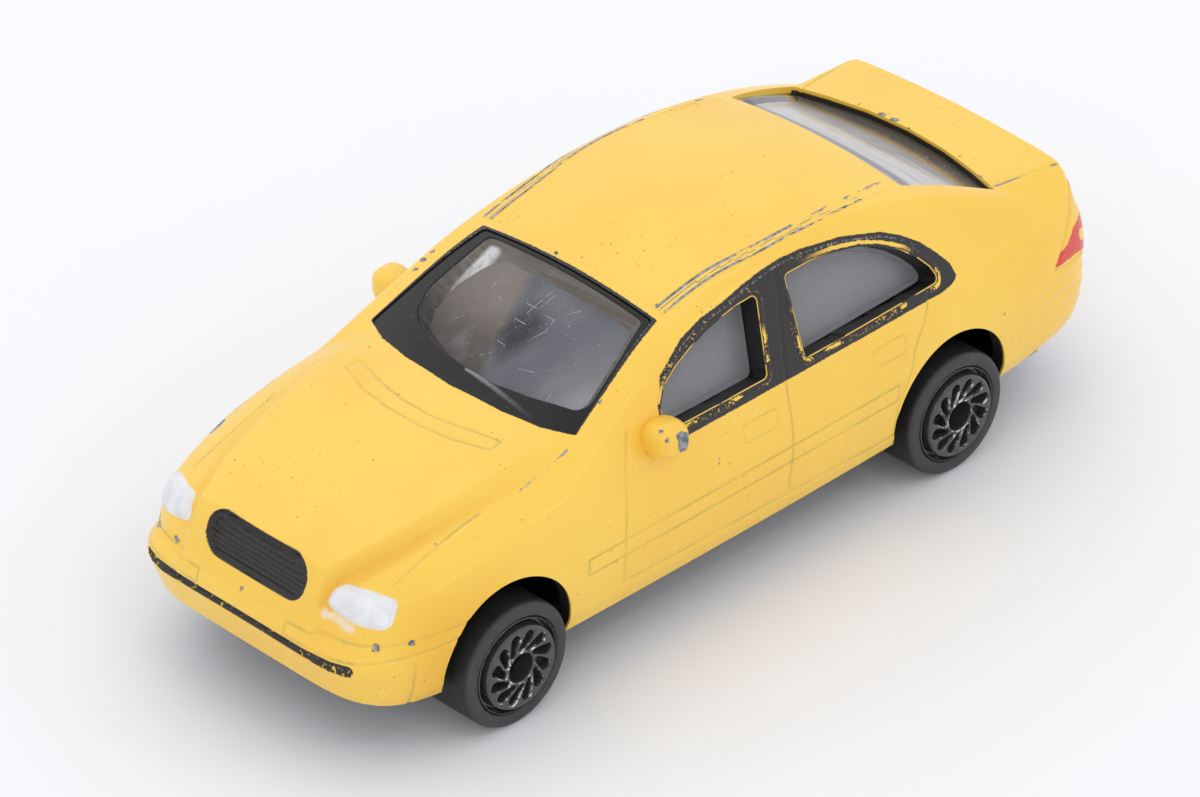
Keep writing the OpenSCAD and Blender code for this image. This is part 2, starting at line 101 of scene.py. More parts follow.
# Openings and painted areas, outlined on the side (along, up) or on the top (along, across).
FRONT_DOOR_WINDOW = [(7.8, 17.1), (7.65, 18.3), (6.9, 19.35), (5.6, 20.1), (3.9, 20.75), (2.1, 21.3),
                     (0.3, 21.65), (-1.2, 21.85), (-2.6, 21.9), (-1.6, 17.1)]
REAR_DOOR_WINDOW = [(-6.45, 22.1), (-6.2, 16.95), (-19.5, 16.95), (-19.2, 17.6), (-18.3, 18.6), (-17, 19.65),
                    (-15.3, 20.6), (-13.3, 21.35), (-11, 21.85), (-8.7, 22.1)]
SCREEN = both_sides([(5.2, 8.5), (14.3, 10.25), (15.3, 8), (16, 5), (16.3, 0)])
BACK_WINDOW = both_sides([(-21, 8.6), (-28.8, 10.1), (-29.4, 7.5), (-29.95, 4), (-30.15, 0)])
SCREEN_TOP = [(5.2, 8.2), (8.75, 9.25), (12.2, 9.95), (13.1, 9.5), (14.3, 5.9), (14.9, 2.8), (14.95, -0.6),
              (14.7, -3.2), (13.6, -6.6), (12.5, -7.9), (10.6, -8.55), (7.9, -8.1), (5.15, -7.9)]
SCREEN_FOOT = [(5.65, 7.5), (8.9, 8.45), (11.8, 9.1), (12.6, 8.6), (13.7, 5.4), (14.2, 2.5), (14.2, -0.6),
               (13.9, -3.2), (12.8, -6.3), (11.2, -7.2), (9.1, -7.3), (6.9, -6.6), (5.75, -5.9)]
SCREEN_EDGE = [(4.65, 9.1), *both_sides([(14.5, 10.75), (15.7, 8.2), (16.35, 5), (16.7, 0)]), (4.55, -9.4)]
CORNER_R = 0.35
ARCH_R = 5.9
ARCH_Z = AXLE_Z + 1
WINDOW_FRAME = [(8.3, 18.6), (7.2, 20.4), (4.5, 21.9), (2.2, 22.55), (0.1, 22.8), (-2, 23.2), (-4.3, 23.5),
                (-6.3, 23.6), (-8.3, 23.5), (-10.2, 23.2), (-12.2, 22.9), (-14, 22.35), (-15.9, 21.8),
                (-17.7, 20.85), (-19.3, 19.7), (-20.5, 18.5), (-21.6, 17.2), (-21.8, 16.3), (-21.2, 15.95),
                (-20, 15.75), (-3.4, 15.75), (8.6, 15.75)]
DOORS = [(11.2, 30), (11.39, 18), (11.88, 16.9), (12.46, 15.7), (12.74, 14.3), (12.97, 12.7), (13.2, 10.3),
         (13.2, 6.45), (0, 6.1), (-14.8, 5.6), (-14.9, 8), (-16.2, 11), (-16.6, 12.6), (-17.8, 14.3),
         (-18.6, 16), (-18.6, 30)]
DOOR_GAP = [(6.3, -3.55), (11, -3.75), (15.8, -3.65), (22.8, -5.4)]
VENT = both_sides([(20.05, 1.5), (19.6, 4), (18.7, 7.5), (19.9, 7.6), (20.9, 4.6), (21.3, 1.8)])
HEADLIGHT = [(7.65, 13.85), (7.15, 12.45), (8.2, 12.2), (9.9, 11.85), (11.95, 11.55), (11.8, 13.3),
             (10, 13.75)]
# Beads along each edge of the roof, in two pairs: the line they follow, the distance between the beads of a
# pair, and how far out lies the pair that is rubbed bare on the left (1) and on the right (-1)
GUTTER = [(-19.7, 7.7), (-13.5, 8.5), (-6.2, 8.65), (-0.8, 8.1), (3.7, 8.0)]
GUTTER_APART = 0.75
GUTTER_OUT = {1: 0.2, -1: 1.0}
# Boxes with round corners: height or places, then half sizes of the core and radius. Sharp boxes: middle
# and half sizes.
GRILLE_Z, GRILLE = 13.1, (3.6, 0.1, 1.65)
SLOT_Z, SLOT = 8.7, (10.4, 0, 0.5)
HANDLE_SPOTS, HANDLE = ((-0.6, 13.4), (-14.0, 13.5)), (1.35, 0.4, 0.35)
SIDE_STRIP = (0.95, 9.55, 15.85, 0.68)
BUMPER_LINE = (12.2, 9.9, 7.6, 0.5)
PLATE = (0, 13.6, 3.6, 0.95)
# Tail lamps: distance round the tail from its middle, and height. The notch also has a radius.
TAIL_LAMP = [(17.9, 12.25), (15.95, 14.2), (13.4, 16.4), (12.4, 17.15), (9.1, 17.2), (8.9, 11.7),
             (13.2, 11.7)]
TAIL_RED = [(17.75, 12.45), (16.95, 13.3), (15.75, 13.75), (14.7, 14.5), (13.3, 14.75), (9.4, 14.8),
            (9.2, 12.0), (13.25, 11.95), (15.2, 12.45)]
TAIL_NOTCH = (13.7, 13.35, 0.5)
TAIL_CLEAR = [(13.0, 15.4), (12.5, 16.8), (9.5, 16.8), (9.4, 15.4)]
# Places where the paint has gone through to metal: lines over the top, and single chips (place and size)
WORN_LINES = [
    [(33.3, -13.0), (31.7, -13.2), (29.1, -13.4), (27.7, -13.3), (25.4, -13.0), (21.6, -12.9), (17, -13.2)],
    [(20.5, 11.35), (17.5, 11.1), (15.6, 11.0)],
    [(-29.6, 10.0), (-32.8, 10.5), (-35.5, 10.65)],
]
CHIPS = [(28.3, -13.1, 14.2, 0.5), (27.5, -13.2, 14.25, 0.62), (34.5, -11.75, 10.9, 0.45),
         (34.9, -11.45, 10.6, 0.4), (35.35, -11.05, 10.3, 0.36), (36.13, -8.2, 10.7, 0.3),
         (36.88, -0.43, 10.66, 0.2), (34.9, 11.57, 10.4, 0.32), (32.67, 12.9, 10.3, 0.24),
         (27.95, 10.5, 15.4, 0.16), (8.94, -11.0, 20.7, 0.25), (9.88, -10.9, 20.3, 0.2),
         (8.14, -10.8, 21.1, 0.17), (11.66, 10.4, 19.6, 0.14), (3.63, 8.1, 23.0, 0.12),
         (4.3, -1.7, 23.35, 0.1), (-30.55, -5.1, 19.3, 0.12), (-30.6, -2.7, 19.3, 0.3),
         (-30.65, -1.5, 19.3, 0.34), (-30.5, 0.2, 19.3, 0.12), (-30.4, 5.5, 19.2, 0.12),
         (-29.5, 8.5, 19.2, 0.2)]
MIRROR_CHIPS = [(8.5, 15.85, 17.1, 0.75), (8.9, 15.8, 17.8, 0.4), (10.0, 14.8, 18.2, 0.2),
                (9.97, 15.5, 17.8, 0.18)]
# A painted highlight below the left headlight: a line seen from the front (across, up).
LAMP_HIGHLIGHT = [(7.3, 11.75), (8.4, 11.7), (9.7, 11.4)]
# Scratches on the windscreen, and painted highlights as light streaks on its border, as straight strokes seen
# from above
SCRATCHES = [((6.2, -0.15), (8.65, -0.3)), ((6.4, 0.3), (7.95, 0.2)), ((7.95, 1.9), (9.15, 2.15)),
             ((9.15, 2.15), (10.0, 1.75)), ((9.43, -0.75), (9.43, 0.35)), ((8.0, -0.95), (7.95, 0.35)),
             ((7.2, 2.45), (6.45, 3.0)), ((8.5, -3.4), (8.7, -2.75)), ((8.1, -4.65), (7.55, -4.65)),
             ((12.4, 2.7), (12.05, 3.95)), ((13.35, 6.45), (12.5, 6.2)), ((10.0, 6.1), (9.15, 6.1)),
             ((11.45, -0.5), (11.5, 0.35)), ((8.1, 1.0), (8.1, 2.05)), ((11.45, -5.15), (10.85, -4.55)),
             ((12.95, -0.75), (12.4, -0.15))]
BORDER_HIGHLIGHTS = [((14.95, 0.0), (15.4, 7.5)), ((5.5, -9.35), (8.5, -9.95))]
SCRATCH_WIDTH = 0.042
# The stage in metres. Lamps: name, side length and place. The camera: its axes (right, up, back), its place
# and its focal length, which was solved in pixels of an image of a given width.
SOFTBOX = ("softbox", 1.2, (-0.25, -0.75, 0.9))
SMALL_LAMPS = [("left_lamp", 0.05, (0.05, 0.65, 0.95)), ("front_lamp", 0.05, (0.85, 0.55, 0.55)),
               ("rear_lamp", 0.05, (-0.55, 0.75, 0.7))]
SKY_TINT = (0.965, 0.978, 1, 1)
CAMERA_AXES = ((-0.718511, 0.695311, -0.016849), (-0.396445, -0.389528, 0.831324),
               (0.571466, 0.603995, 0.555533))
CAMERA_PLACE = (0.334808, 0.351904, 0.333962)
IMAGE_WIDTH = 1200
FOCAL_PIXELS = 7932.86
SENSOR_WIDTH = 36
FLOOR_HALF = 2.0
FLOOR_CELLS = 8


def curve(x, pairs):
    """Smooth curve through (place, value) pairs, level beyond its ends: between neighbours runs the
    cubic whose end slopes are those of the chords across each pair's neighbours."""
    px, py = np.asarray(pairs, float).T
    n = len(px)
    low, high = np.maximum(np.arange(n) - 1, 0), np.minimum(np.arange(n) + 1, n - 1)
    slope = (py[high] - py[low]) / (px[high] - px[low])
    q = np.clip(x, px[0], px[-1])
    i = np.clip(np.searchsorted(px, q, side="right") - 1, 0, n - 2)
    w = px[i + 1] - px[i]
    t = (q - px[i]) / w
    return ((2 * t**3 - 3 * t**2 + 1) * py[i] + (t**3 - 2 * t**2 + t) * w * slope[i]
            + (3 * t**2 - 2 * t**3) * py[i + 1] + (t**3 - t**2) * w * slope[i + 1])


def soft_min(a, b, k):
    """The lower of two heights, with the edge between them rounded over k."""
    return np.minimum(a, b) - np.maximum(k - np.abs(a - b), 0)**3 / (6 * k**2)


def ease(t):
    """Smooth step from 0 to 1 as t goes from 0 to 1."""
    q = np.clip(t, 0, 1)
    return q * q * (3 - 2 * q)


def bell(distance, width):
    """1 at no distance, falling off as the bell curve of a width."""
    return np.exp(-(distance / width)**2)


def walked(points):
    """Length walked along a row of points up to each of them."""
    return np.concatenate([[0], np.cumsum(np.linalg.norm(np.diff(points, axis=0), axis=-1))])


def taper(x):
    """Share of the full width left at a place along the car."""
    return 1 - np.where(x > 0, 0.045, 0.02) * (np.abs(x) / HALF_LEN)**2.5


def deck(x, y):
    """Height of bonnet, wings and boot above the axle line: the lower of a crowned plate and a wing that
    slopes down from it, less the bonnet's step outside its raised middle."""
    wing = curve(x, SHOULDER_LINE) + ((HALF_WID - 0.6) * taper(x) - np.abs(y)) * curve(x, SHOULDER_SLOPE)
    plate = curve(x, DECK_LINE) - 0.0035 * y * y
    past = (np.abs(y) - curve(x, BONNET_HALF)) / 0.65 + 0.5
    return soft_min(plate, wing, curve(x, SHOULDER_BLEND)) - curve(x, BONNET_STEP) * ease(past)


def cabin(x, y):
    """Height of the cabin above the axle line: the lowest of an arched roof, two sloping screens and the
    leaning sides, each pair of them rounded into one another."""
    roof = 19.95 - 0.0108 * (x + 7.8)**2 - 0.008 * y * y
    screen = 18.7 - SCREEN_SLOPE * (x - 5.7) - 0.012 * y * y
    back = 18.75 + SCREEN_SLOPE * (x + 20.3) - 0.004 * y * y
    side = 10.9 + (HALF_WID - 0.55 - 0.0011 * (x + 3)**2 - np.abs(y)) * SIDE_SLOPE
    return soft_min(soft_min(soft_min(screen, roof, 0.5), back, 0.5), side, 2.6)


def top(x, y):
    """Height of the body's top above the floor: the higher of deck and cabin, rounded where they meet."""
    return AXLE_Z - soft_min(-deck(x, y), -cabin(x, y), 0.5)


def side_y(x, z):
    """Distance of the cabin's side from the middle plane at a height, found by halving."""
    low, high = np.full_like(x, 6.0), np.full_like(x, 14.2)
    for _ in range(40):
        y = (low + high) / 2
        above = top(x, y) > z
        low, high = np.where(above, y, low), np.where(above, high, y)
    return (low + high) / 2


def plan(u):
    """Plan outline of the left half as shares of the half sizes: an even walk round half a box from nose to
    tail, each point drawn in along its ray until the powers of its two shares add up to one."""
    nose, flank, tail = PLAN_STEPS
    i = u * (nose + flank + tail)
    along = np.where(i <= nose, 1, np.where(i <= nose + flank, 1 - 2 * (i - nose) / flank, -1))
    across = np.where(i <= nose, i / nose, np.where(i <= nose + flank, 1, (nose + flank + tail - i) / tail))
    square = np.where(along > 0, FRONT_SQUARE, REAR_SQUARE)
    r = (np.abs(along)**square + across**square)**(-1 / square)
    return along * r, across * r


def flank(u, v):
    """Place on the side zone: the plan outline, set back by curves over the height share v."""
    along, across = plan(u)
    setback = np.where(along > 0, curve(v, FRONT_SETBACK), curve(v, REAR_SETBACK))
    x = along * (HALF_LEN - setback)
    return x, across * (HALF_WID - curve(v, FLANK_SETIN)) * taper(x)


def shell_point(u, q):
    """Point of the left half of the skin: u walks from the middle of the nose to the middle of the tail, and
    q rises from the sill (0) to the shoulder (1), then crosses the top to the spine (2)."""
    v, t = np.clip(q, 0, 1), np.clip(q - 1, 0, 1)
    x, y = flank(u, v)
    sx, sy = flank(u, np.ones_like(v))
    low = curve(x, SILL_LINE)
    z = low + (deck(sx, sy) - low) * v + AXLE_Z
    tx, ty = sx + (SPINE_HALF * (1 - 2 * u) - sx) * t, sy * (1 - t)
    upper = q > 1
    return np.stack([np.where(upper, tx, x), np.where(upper, ty, y), np.where(upper, top(tx, ty), z)], -1)


def path_distance(a, b, points):
    """Distance in a plane to the nearest piece of an open path."""
    points = np.asarray(points, float)
    best = np.full(a.shape, 1e9)
    for s, e in zip(points[:-1], points[1:]):
        run = e - s
        t = np.clip(((a - s[0]) * run[0] + (b - s[1]) * run[1]) / (run @ run), 0, 1)
        best = np.minimum(best, (a - s[0] - t * run[0])**2 + (b - s[1] - t * run[1])**2)
    return np.sqrt(best)


def outline_distance(a, b, corners):
    """Signed distance in a plane to a closed outline, negative inside: the nearest edge gives the size, and
    the number of edges that a level ray crosses gives the sign."""
    loop = np.concatenate([corners, corners[:1]]).astype(float)
    inside = np.zeros(a.shape, bool)
    for s, e in zip(loop[:-1], loop[1:]):
        run = e - s
        spans = (s[1] > b) != (e[1] > b)
        inside ^= spans & (a < run[0] * (b - s[1]) / (run[1] if run[1] else 1) + s[0])
    return np.where(inside, -1, 1) * path_distance(a, b, loop)


def bar(a, b, at_a, at_b, half_a, half_b):
    """Signed measure of a box with sharp corners, from its middle and half sizes."""
    return np.maximum(np.abs(a - at_a) - half_a, np.abs(b - at_b) - half_b)


def pill(a, b, half_a, half_b, r):
    """Signed distance to a box with round corners, centred on zero; the half sizes are of its core."""
    da, db = np.abs(a) - half_a, np.abs(b) - half_b
    return np.hypot(np.maximum(da, 0), np.maximum(db, 0)) + np.minimum(np.maximum(da, db), 0) - r


def nearest_line(*fields):
    """Of several signed distances, at each point the one nearest to zero."""
    stack = np.stack(fields)
    return np.take_along_axis(stack, np.abs(stack).argmin(0)[None], 0)[0]


def side_windows(point):
    """Signed distance to the side window openings."""
    x, _, z = np.moveaxis(point, -1, 0)
    front, rear = (outline_distance(x, z, corners) for corners in (FRONT_DOOR_WINDOW, REAR_DOOR_WINDOW))
    return np.minimum(front, rear) - CORNER_R


def openings(point):
    """Signed distance to the nearest opening in the shell: windows, screens and wheel arches."""
    x, y, z = np.moveaxis(point, -1, 0)
    screens = [outline_distance(x, y, corners) - CORNER_R for corners in (SCREEN, BACK_WINDOW)]
    arches = [np.hypot(x - axle[0], z - ARCH_Z) - ARCH_R for axle in (FRONT_AXLE, REAR_AXLE)]
    return np.minimum.reduce([*screens, side_windows(point), *arches])


def crowded(start, end, count, crowds):
    """Places from start to end, closer together near each (centre, half width, factor)."""
    fine = np.linspace(start, end, 4001)
    density = np.ones_like(fine)
    for centre, half, factor in crowds:
        density += (factor - 1) * np.exp(-((fine - centre) / half)**4)
    walk = np.concatenate([[0], np.cumsum((density[1:] + density[:-1]) / 2)])
    return np.interp(np.linspace(0, walk[-1], count), walk, fine)


def shell_places(cell):
    """Columns and rows of the shell's grid: columns crowd at the door gaps, rows at the side strip, and
    the rows over the top are evenly spaced along a section through the cabin."""
    columns = crowded(0, 1, int(100 / cell), [(0.3775, 0.009, 2), (0.5345, 0.009, 2)])
    rows = crowded(0, 1, int(12 / cell), [(0.384, 0.03, 1.8), (0.5, 0.04, 1.8)])
    y = np.linspace(13.85, 0, 3000)
    walk = walked(np.stack([y, top(np.full_like(y, -6.0), y)], 1))
    over = 1 - np.interp(np.linspace(0, walk[-1], int(walk[-1] / cell)), walk, y) / y[0]
    return np.meshgrid(columns, np.concatenate([rows, 1 + over[1:]]))


def settle_on_edges(u, q):
    """Moves the grid points that lie within half a cell of an opening's edge onto that edge, down the
    steepest way across the grid. Returns the new grid and -1, 0 or 1 for inside, on the edge, outside."""
    point = shell_point(u, q)
    gap = openings(point)
    cell = np.maximum(np.linalg.norm(np.gradient(point, axis=1), axis=-1),
                      np.linalg.norm(np.gradient(point, axis=0), axis=-1))
    near = np.abs(gap) < 0.56 * cell
    a, b = u[near], q[near]
    step_a, step_b = np.gradient(u, axis=1)[near], np.gradient(q, axis=0)[near]
    edge_row = b <= 0
    for _ in range(4):
        here = openings(shell_point(a, b))
        rise_a = (openings(shell_point(a + 0.1 * step_a, b)) - here) * 10
        rise_b = np.where(edge_row, 0, (openings(shell_point(a, b + 0.1 * step_b)) - here) * 10)
        share = here / (rise_a**2 + rise_b**2 + 1e-9)
        a = np.clip(a - np.clip(share * rise_a, -0.7, 0.7) * step_a, 0, 1)
        b = np.clip(b - np.clip(share * rise_b, -0.7, 0.7) * step_b, 0, 2)
    u, q = u.copy(), q.copy()
    u[near], q[near] = a, b
    return u, q, np.where(near, 0, np.sign(gap)).astype(int)


def round_shoulder(point, rows, spread):
    """Rounds the edge between side and top: near the shoulder row, each point moves to the weighted mean of
    its neighbours up and down the section, and along the front wings once more over twice the spread."""
    n = len(point)
    x = point[rows, :, 0]
    on_wing = (ease((x - 10) / 4) * ease((28 - x) / 5))[:, None]
    for width, share in ((spread, 1), (2 * spread, on_wing)):
        reach = np.arange(-3 * width, 3 * width + 1)
        weight = np.exp(-0.5 * (reach / width)**2)
        weight /= weight.sum()
        mean = sum(w * point[np.clip(np.arange(n) + k, 0, n - 1)] for k, w in zip(reach, weight))
        fade = np.exp(-((np.arange(n) - rows) / (2.2 * width))**4)[:, None, None]
        point = point + (mean - point) * fade * share
    return point


def only(zone, field):
    """A field within a zone, and nowhere near beyond it."""
    return np.where(zone, field, FAR)


def relief(point, walk, tail):
    """Height of the casting's detail above the skin, and the fields that the paint follows. The fields are
    signed distances, in millimetres, to the edges of painted areas and to engraved lines. Lines and beads are
    bell-shaped across, and raised or sunk areas ease in from their edges."""
    x, y, z = np.moveaxis(point, -1, 0)
    nose, tail_end, on_side, over = x > 30, x < -33, y > 9.5, z > 17
    below_belt = (z < 16.3) & (y > 12)
    frame_edge = only((z > 15) & on_side, outline_distance(x, z, WINDOW_FRAME))
    grille = only(nose, pill(y, z - GRILLE_Z, *GRILLE))
    slot = only(nose & (z < 11), pill(y, z - SLOT_Z, *SLOT))
    lamp = only(nose, outline_distance(y, z, rounded_outline(HEADLIGHT, 60, 0.9)))
    red = np.maximum(outline_distance(tail, z, TAIL_RED),
                     TAIL_NOTCH[2] - np.hypot(tail - TAIL_NOTCH[0], z - TAIL_NOTCH[1]))
    clear = outline_distance(tail, z, TAIL_CLEAR)
    screen = only(over, outline_distance(x, y, SCREEN_EDGE))
    reveal = only(on_side, side_windows(point))
    dark = np.minimum.reduce([frame_edge, grille, slot, screen])

    strip = only(below_belt, bar(x, z, *SIDE_STRIP))
    bumper = only(z < 12, bar(walk, z, *BUMPER_LINE))
    doors = only((z < 18) & (y > 11), outline_distance(x, z, DOORS))
    gap = only(on_side & (z > 6.2) & (z < 23), x - curve(z, DOOR_GAP))
    handles = np.minimum.reduce([pill(x - a, z - b, *HANDLE) for a, b in HANDLE_SPOTS])
    handles = only(below_belt, handles)
    vent = only(over, outline_distance(x, y, VENT))
    boot = only((x < -29) & over, y - 10.0 - 0.12 * (-29.6 - x))
    lid = only(tail_end & (z < 18), np.maximum(tail - 8.4, 11.5 - z))
    plate = only(tail_end, bar(tail, z, *PLATE))
    housing = only(x < -30, outline_distance(tail, z, TAIL_LAMP))
    wing = y - 10.6 - 0.00017 * np.maximum(32 - x, 0)**3.5
    wing = only((x > 24) & (x < 32.3) & (z > 13.5), wing)
    post = only((x > 31) & (z < 8.8) & (y > 11), x - 32.7)
    seam = nearest_line(strip, bumper, doors, gap, handles * 2.6, vent, boot, lid, plate, housing * 1.6, wing,
                        post)

    # Where painted shade goes: the hollows beside the bonnet's raised middle, deeper where its step is
    # higher.
    beside = np.abs(y) - curve(x, BONNET_HALF) - 0.75
    hollow_shade = np.where(z > 12, curve(x, BONNET_STEP), 0) * bell(beside, 0.8)
    rail = only((x > -19.7) & (x < 4) & (z > 20), y - curve(x, GUTTER))

    height = -0.085 * bell(seam, 0.15) * (reveal > 0.05) - ROOM
    for out in GUTTER_OUT.values():
        height += 0.05 * bell(np.minimum(np.abs(rail - out), np.abs(rail - out - GUTTER_APART)), 0.14)
    height += 0.11 * bell(reveal - 0.32, 0.17)
    height += 0.05 * ease(-strip / 0.25) - 0.12 * ease(-plate / 0.3)
    height += 0.3 * ease(-lamp / 0.4) + 0.06 * ease(-housing / 0.25)
    ribs = np.cos(2 * np.pi * (z - 11.5) / 1.3) - 1
    height += 0.05 * ribs * ease((20.5 - tail) / 1.5) * ease(12 - z) * ease(z - 6.6)
    height -= 0.42 * ease(-grille / 0.2) + 0.4 * ease(-slot / 0.18)
    height += 0.08 * np.cos(2 * np.pi * (z - GRILLE_Z) / 0.42) * ease((-grille - 0.15) / 0.25)
    return height, {"dark": dark, "slot": slot, "lamp": lamp, "red": red, "clear": clear, "reveal": reveal,
                    "seam": seam, "rail": rail, "hollow_shade": hollow_shade}


def chip_distance(point, chips):
    """Distance to the nearest of several chips, less the chip's size."""
    return np.minimum.reduce([np.linalg.norm(point - chip[:3], axis=-1) - chip[3] for chip in chips])


def wear_and_highlight_places(point):
    """Distances to the worn lines over the top and to the nearest chip, and to the painted highlight below a
    headlight.
    """
    x, y, z = np.moveaxis(point, -1, 0)
    wear = np.minimum.reduce([path_distance(x, y, path) for path in WORN_LINES])
    return {"wear": only(z > 11.5, wear), "chip": chip_distance(point, CHIPS),
            "lamp_highlight": only((x > 33) & (y > 0), path_distance(y, z, LAMP_HIGHLIGHT) - 0.3)}


def both_halves(rows, sign=None):
    """A field of the left half carried over the spine onto the right half, mirrored by sign."""
    other = rows[-2::-1]
    return np.concatenate([rows, other if sign is None else other * sign])


def shell_sheet(cell, wall):
    """The whole shell as one grid: outer and inner points, paint fields, and the triangles that are left
    beside the openings. The two halves share their points along the middle of nose and tail."""
    u, q = shell_places(cell)
    shoulder = int(np.argmin(np.abs(q[:, 0] - 1)))
    spread = max(2, int(0.5 / cell))
    plain = round_shoulder(shell_point(u, q), shoulder, spread)
    normal = np.cross(np.gradient(plain, axis=1), np.gradient(plain, axis=0))
    normal[-1, (0, -1)] = normal[-2, (1, -2)]
    normal[:, (0, -1), 1] = 0
    normal[-1, :, 1] = 0
    normal /= np.linalg.norm(normal, axis=-1, keepdims=True)
    u, q, place = settle_on_edges(u, q)
    point = round_shoulder(shell_point(u, q), shoulder, spread)
    walk = np.broadcast_to(walked(point[shoulder // 2]), u.shape)
    height, fields = relief(point, walk, walk[0, -1] - walk)
    mirror = np.array([1, -1, 1])
    outer = both_halves(point + height[..., None] * normal, mirror)
    flange = wall + 0.7 * ease(2 - fields["reveal"] / 0.6)
    inner = both_halves(point - flange[..., None] * normal, mirror)
    fields = {name: both_halves(field) for name, field in fields.items()}
    fields.update(wear_and_highlight_places(outer))
    rail = fields.pop("rail")
    rail = np.where(outer[..., 1] > 0, rail - GUTTER_OUT[1], rail - GUTTER_OUT[-1])
    fields["gutter"] = nearest_line(rail, rail - GUTTER_APART)
    place = both_halves(place)
    rows, columns = place.shape
    index = np.arange(rows * columns).reshape(rows, columns)
    half = len(u)
    index[half:, (0, -1)] = index[half - 2::-1][:, (0, -1)]
    return outer, inner, fields, place, index


def shell_triangles(index, place, first, last):
    """Triangles of the grid columns first to last, split along the diagonal that follows an opening's edge,
    without those inside an opening."""
    part = index[:, first:last + 1]
    a, b, c, d = part[:-1, :-1], part[:-1, 1:], part[1:, 1:], part[1:, :-1]
    kind = place.ravel()
    other = (kind[b] == 0) & (kind[d] == 0) & ~((kind[a] == 0) & (kind[c] == 0))
    one = np.where(other[..., None], np.stack([a, b, d], -1), np.stack([a, b, c], -1)).reshape(-1, 3)
    two = np.where(other[..., None], np.stack([b, c, d], -1), np.stack([a, c, d], -1)).reshape(-1, 3)
    faces = np.concatenate([one, two])
    kinds = kind[faces]
    keep = (kinds >= 0).all(1) & (kinds > 0).any(1)
    keep &= (faces[:, 0] != faces[:, 1]) & (faces[:, 1] != faces[:, 2]) & (faces[:, 0] != faces[:, 2])
    return faces[keep]


def thickened(faces, outer, inner, fields):
    """A closed wall: the outer triangles, the inner ones turned round, and a rim along every free edge."""
    used, faces = np.unique(faces, return_inverse=True)
    faces = faces.reshape(-1, 3)
    n = len(used)
    edges = np.concatenate([faces[:, [0, 1]], faces[:, [1, 2]], faces[:, [2, 0]]])
    code, back = edges[:, 0] * n + edges[:, 1], edges[:, 1] * n + edges[:, 0]
    a, b = edges[~np.isin(code, back)].T
    rim = np.concatenate([np.stack([b, a, a + n], 1), np.stack([b, a + n, b + n], 1)])
    points = np.concatenate([outer.reshape(-1, 3)[used], inner.reshape(-1, 3)[used]])
    fields = {name: np.tile(field.ravel()[used], 2) for name, field in fields.items()}
    x, y, z = points.T
    depth = np.where((x < -20) & (z > 16) & (np.abs(y) < 11), np.where(x > -28.3, 1.2, 2.4), 4.0)
    fields["inside"] = depth * (np.arange(2 * n) >= n)
    return points, np.concatenate([faces, faces[:, ::-1] + n, rim]), fields


def stacked_rings(rings, wrap=False):
    """Triangles over rings of equal length. Without wrap, the first and last rings close on their own
    middle points; with it, the last ring joins the first."""
    rings = np.asarray(rings, float)
    k, n, _ = rings.shape
    index = np.arange(k * n).reshape(k, n)
    a = index if wrap else index[:-1]
    d = np.roll(index, -1, 0) if wrap else index[1:]
    b, c = np.roll(a, -1, 1), np.roll(d, -1, 1)
    faces = np.concatenate([np.stack([a, b, c], -1).reshape(-1, 3), np.stack([a, c, d], -1).reshape(-1, 3)])
    points = rings.reshape(-1, 3)
    if wrap:
        return points, faces
    poles = np.stack([rings[0].mean(0), rings[-1].mean(0)])
    first, last = index[0], index[-1]
    caps = np.concatenate([np.stack([np.full(n, k * n), np.roll(first, -1), first], 1),
                           np.stack([np.full(n, k * n + 1), last, np.roll(last, -1)], 1)])
    return np.concatenate([points, poles]), np.concatenate([faces, caps])


def rounded_outline(corners, count, soften):
    """Closed outline walked in even steps, its corners rounded by a running mean of width soften."""
    corners = np.asarray(corners, float)
    loop = np.concatenate([corners, corners[:1]])
    walk = walked(loop)
    at = np.linspace(0, walk[-1], count, endpoint=False)
    line = np.stack([np.interp(at, walk, loop[:, i]) for i in (0, 1)], 1)
    reach = max(1, int(soften / walk[-1] * count))
    kernel = np.hanning(2 * reach + 3)[1:-1]
    return sum(w * np.roll(line, k - reach, 0) for k, w in enumerate(kernel)) / kernel.sum()


def grown(line, by):
    """A closed outline moved outwards by a distance, along the square to its own run."""
    run = np.roll(line, -1, 0) - np.roll(line, 1, 0)
    out = np.stack([run[:, 1], -run[:, 0]], 1) / np.linalg.norm(run, axis=1, keepdims=True)
    area = np.sum(line[:, 0] * np.roll(line[:, 1], -1) - np.roll(line[:, 0], -1) * line[:, 1])
    return line + np.sign(area) * by * out


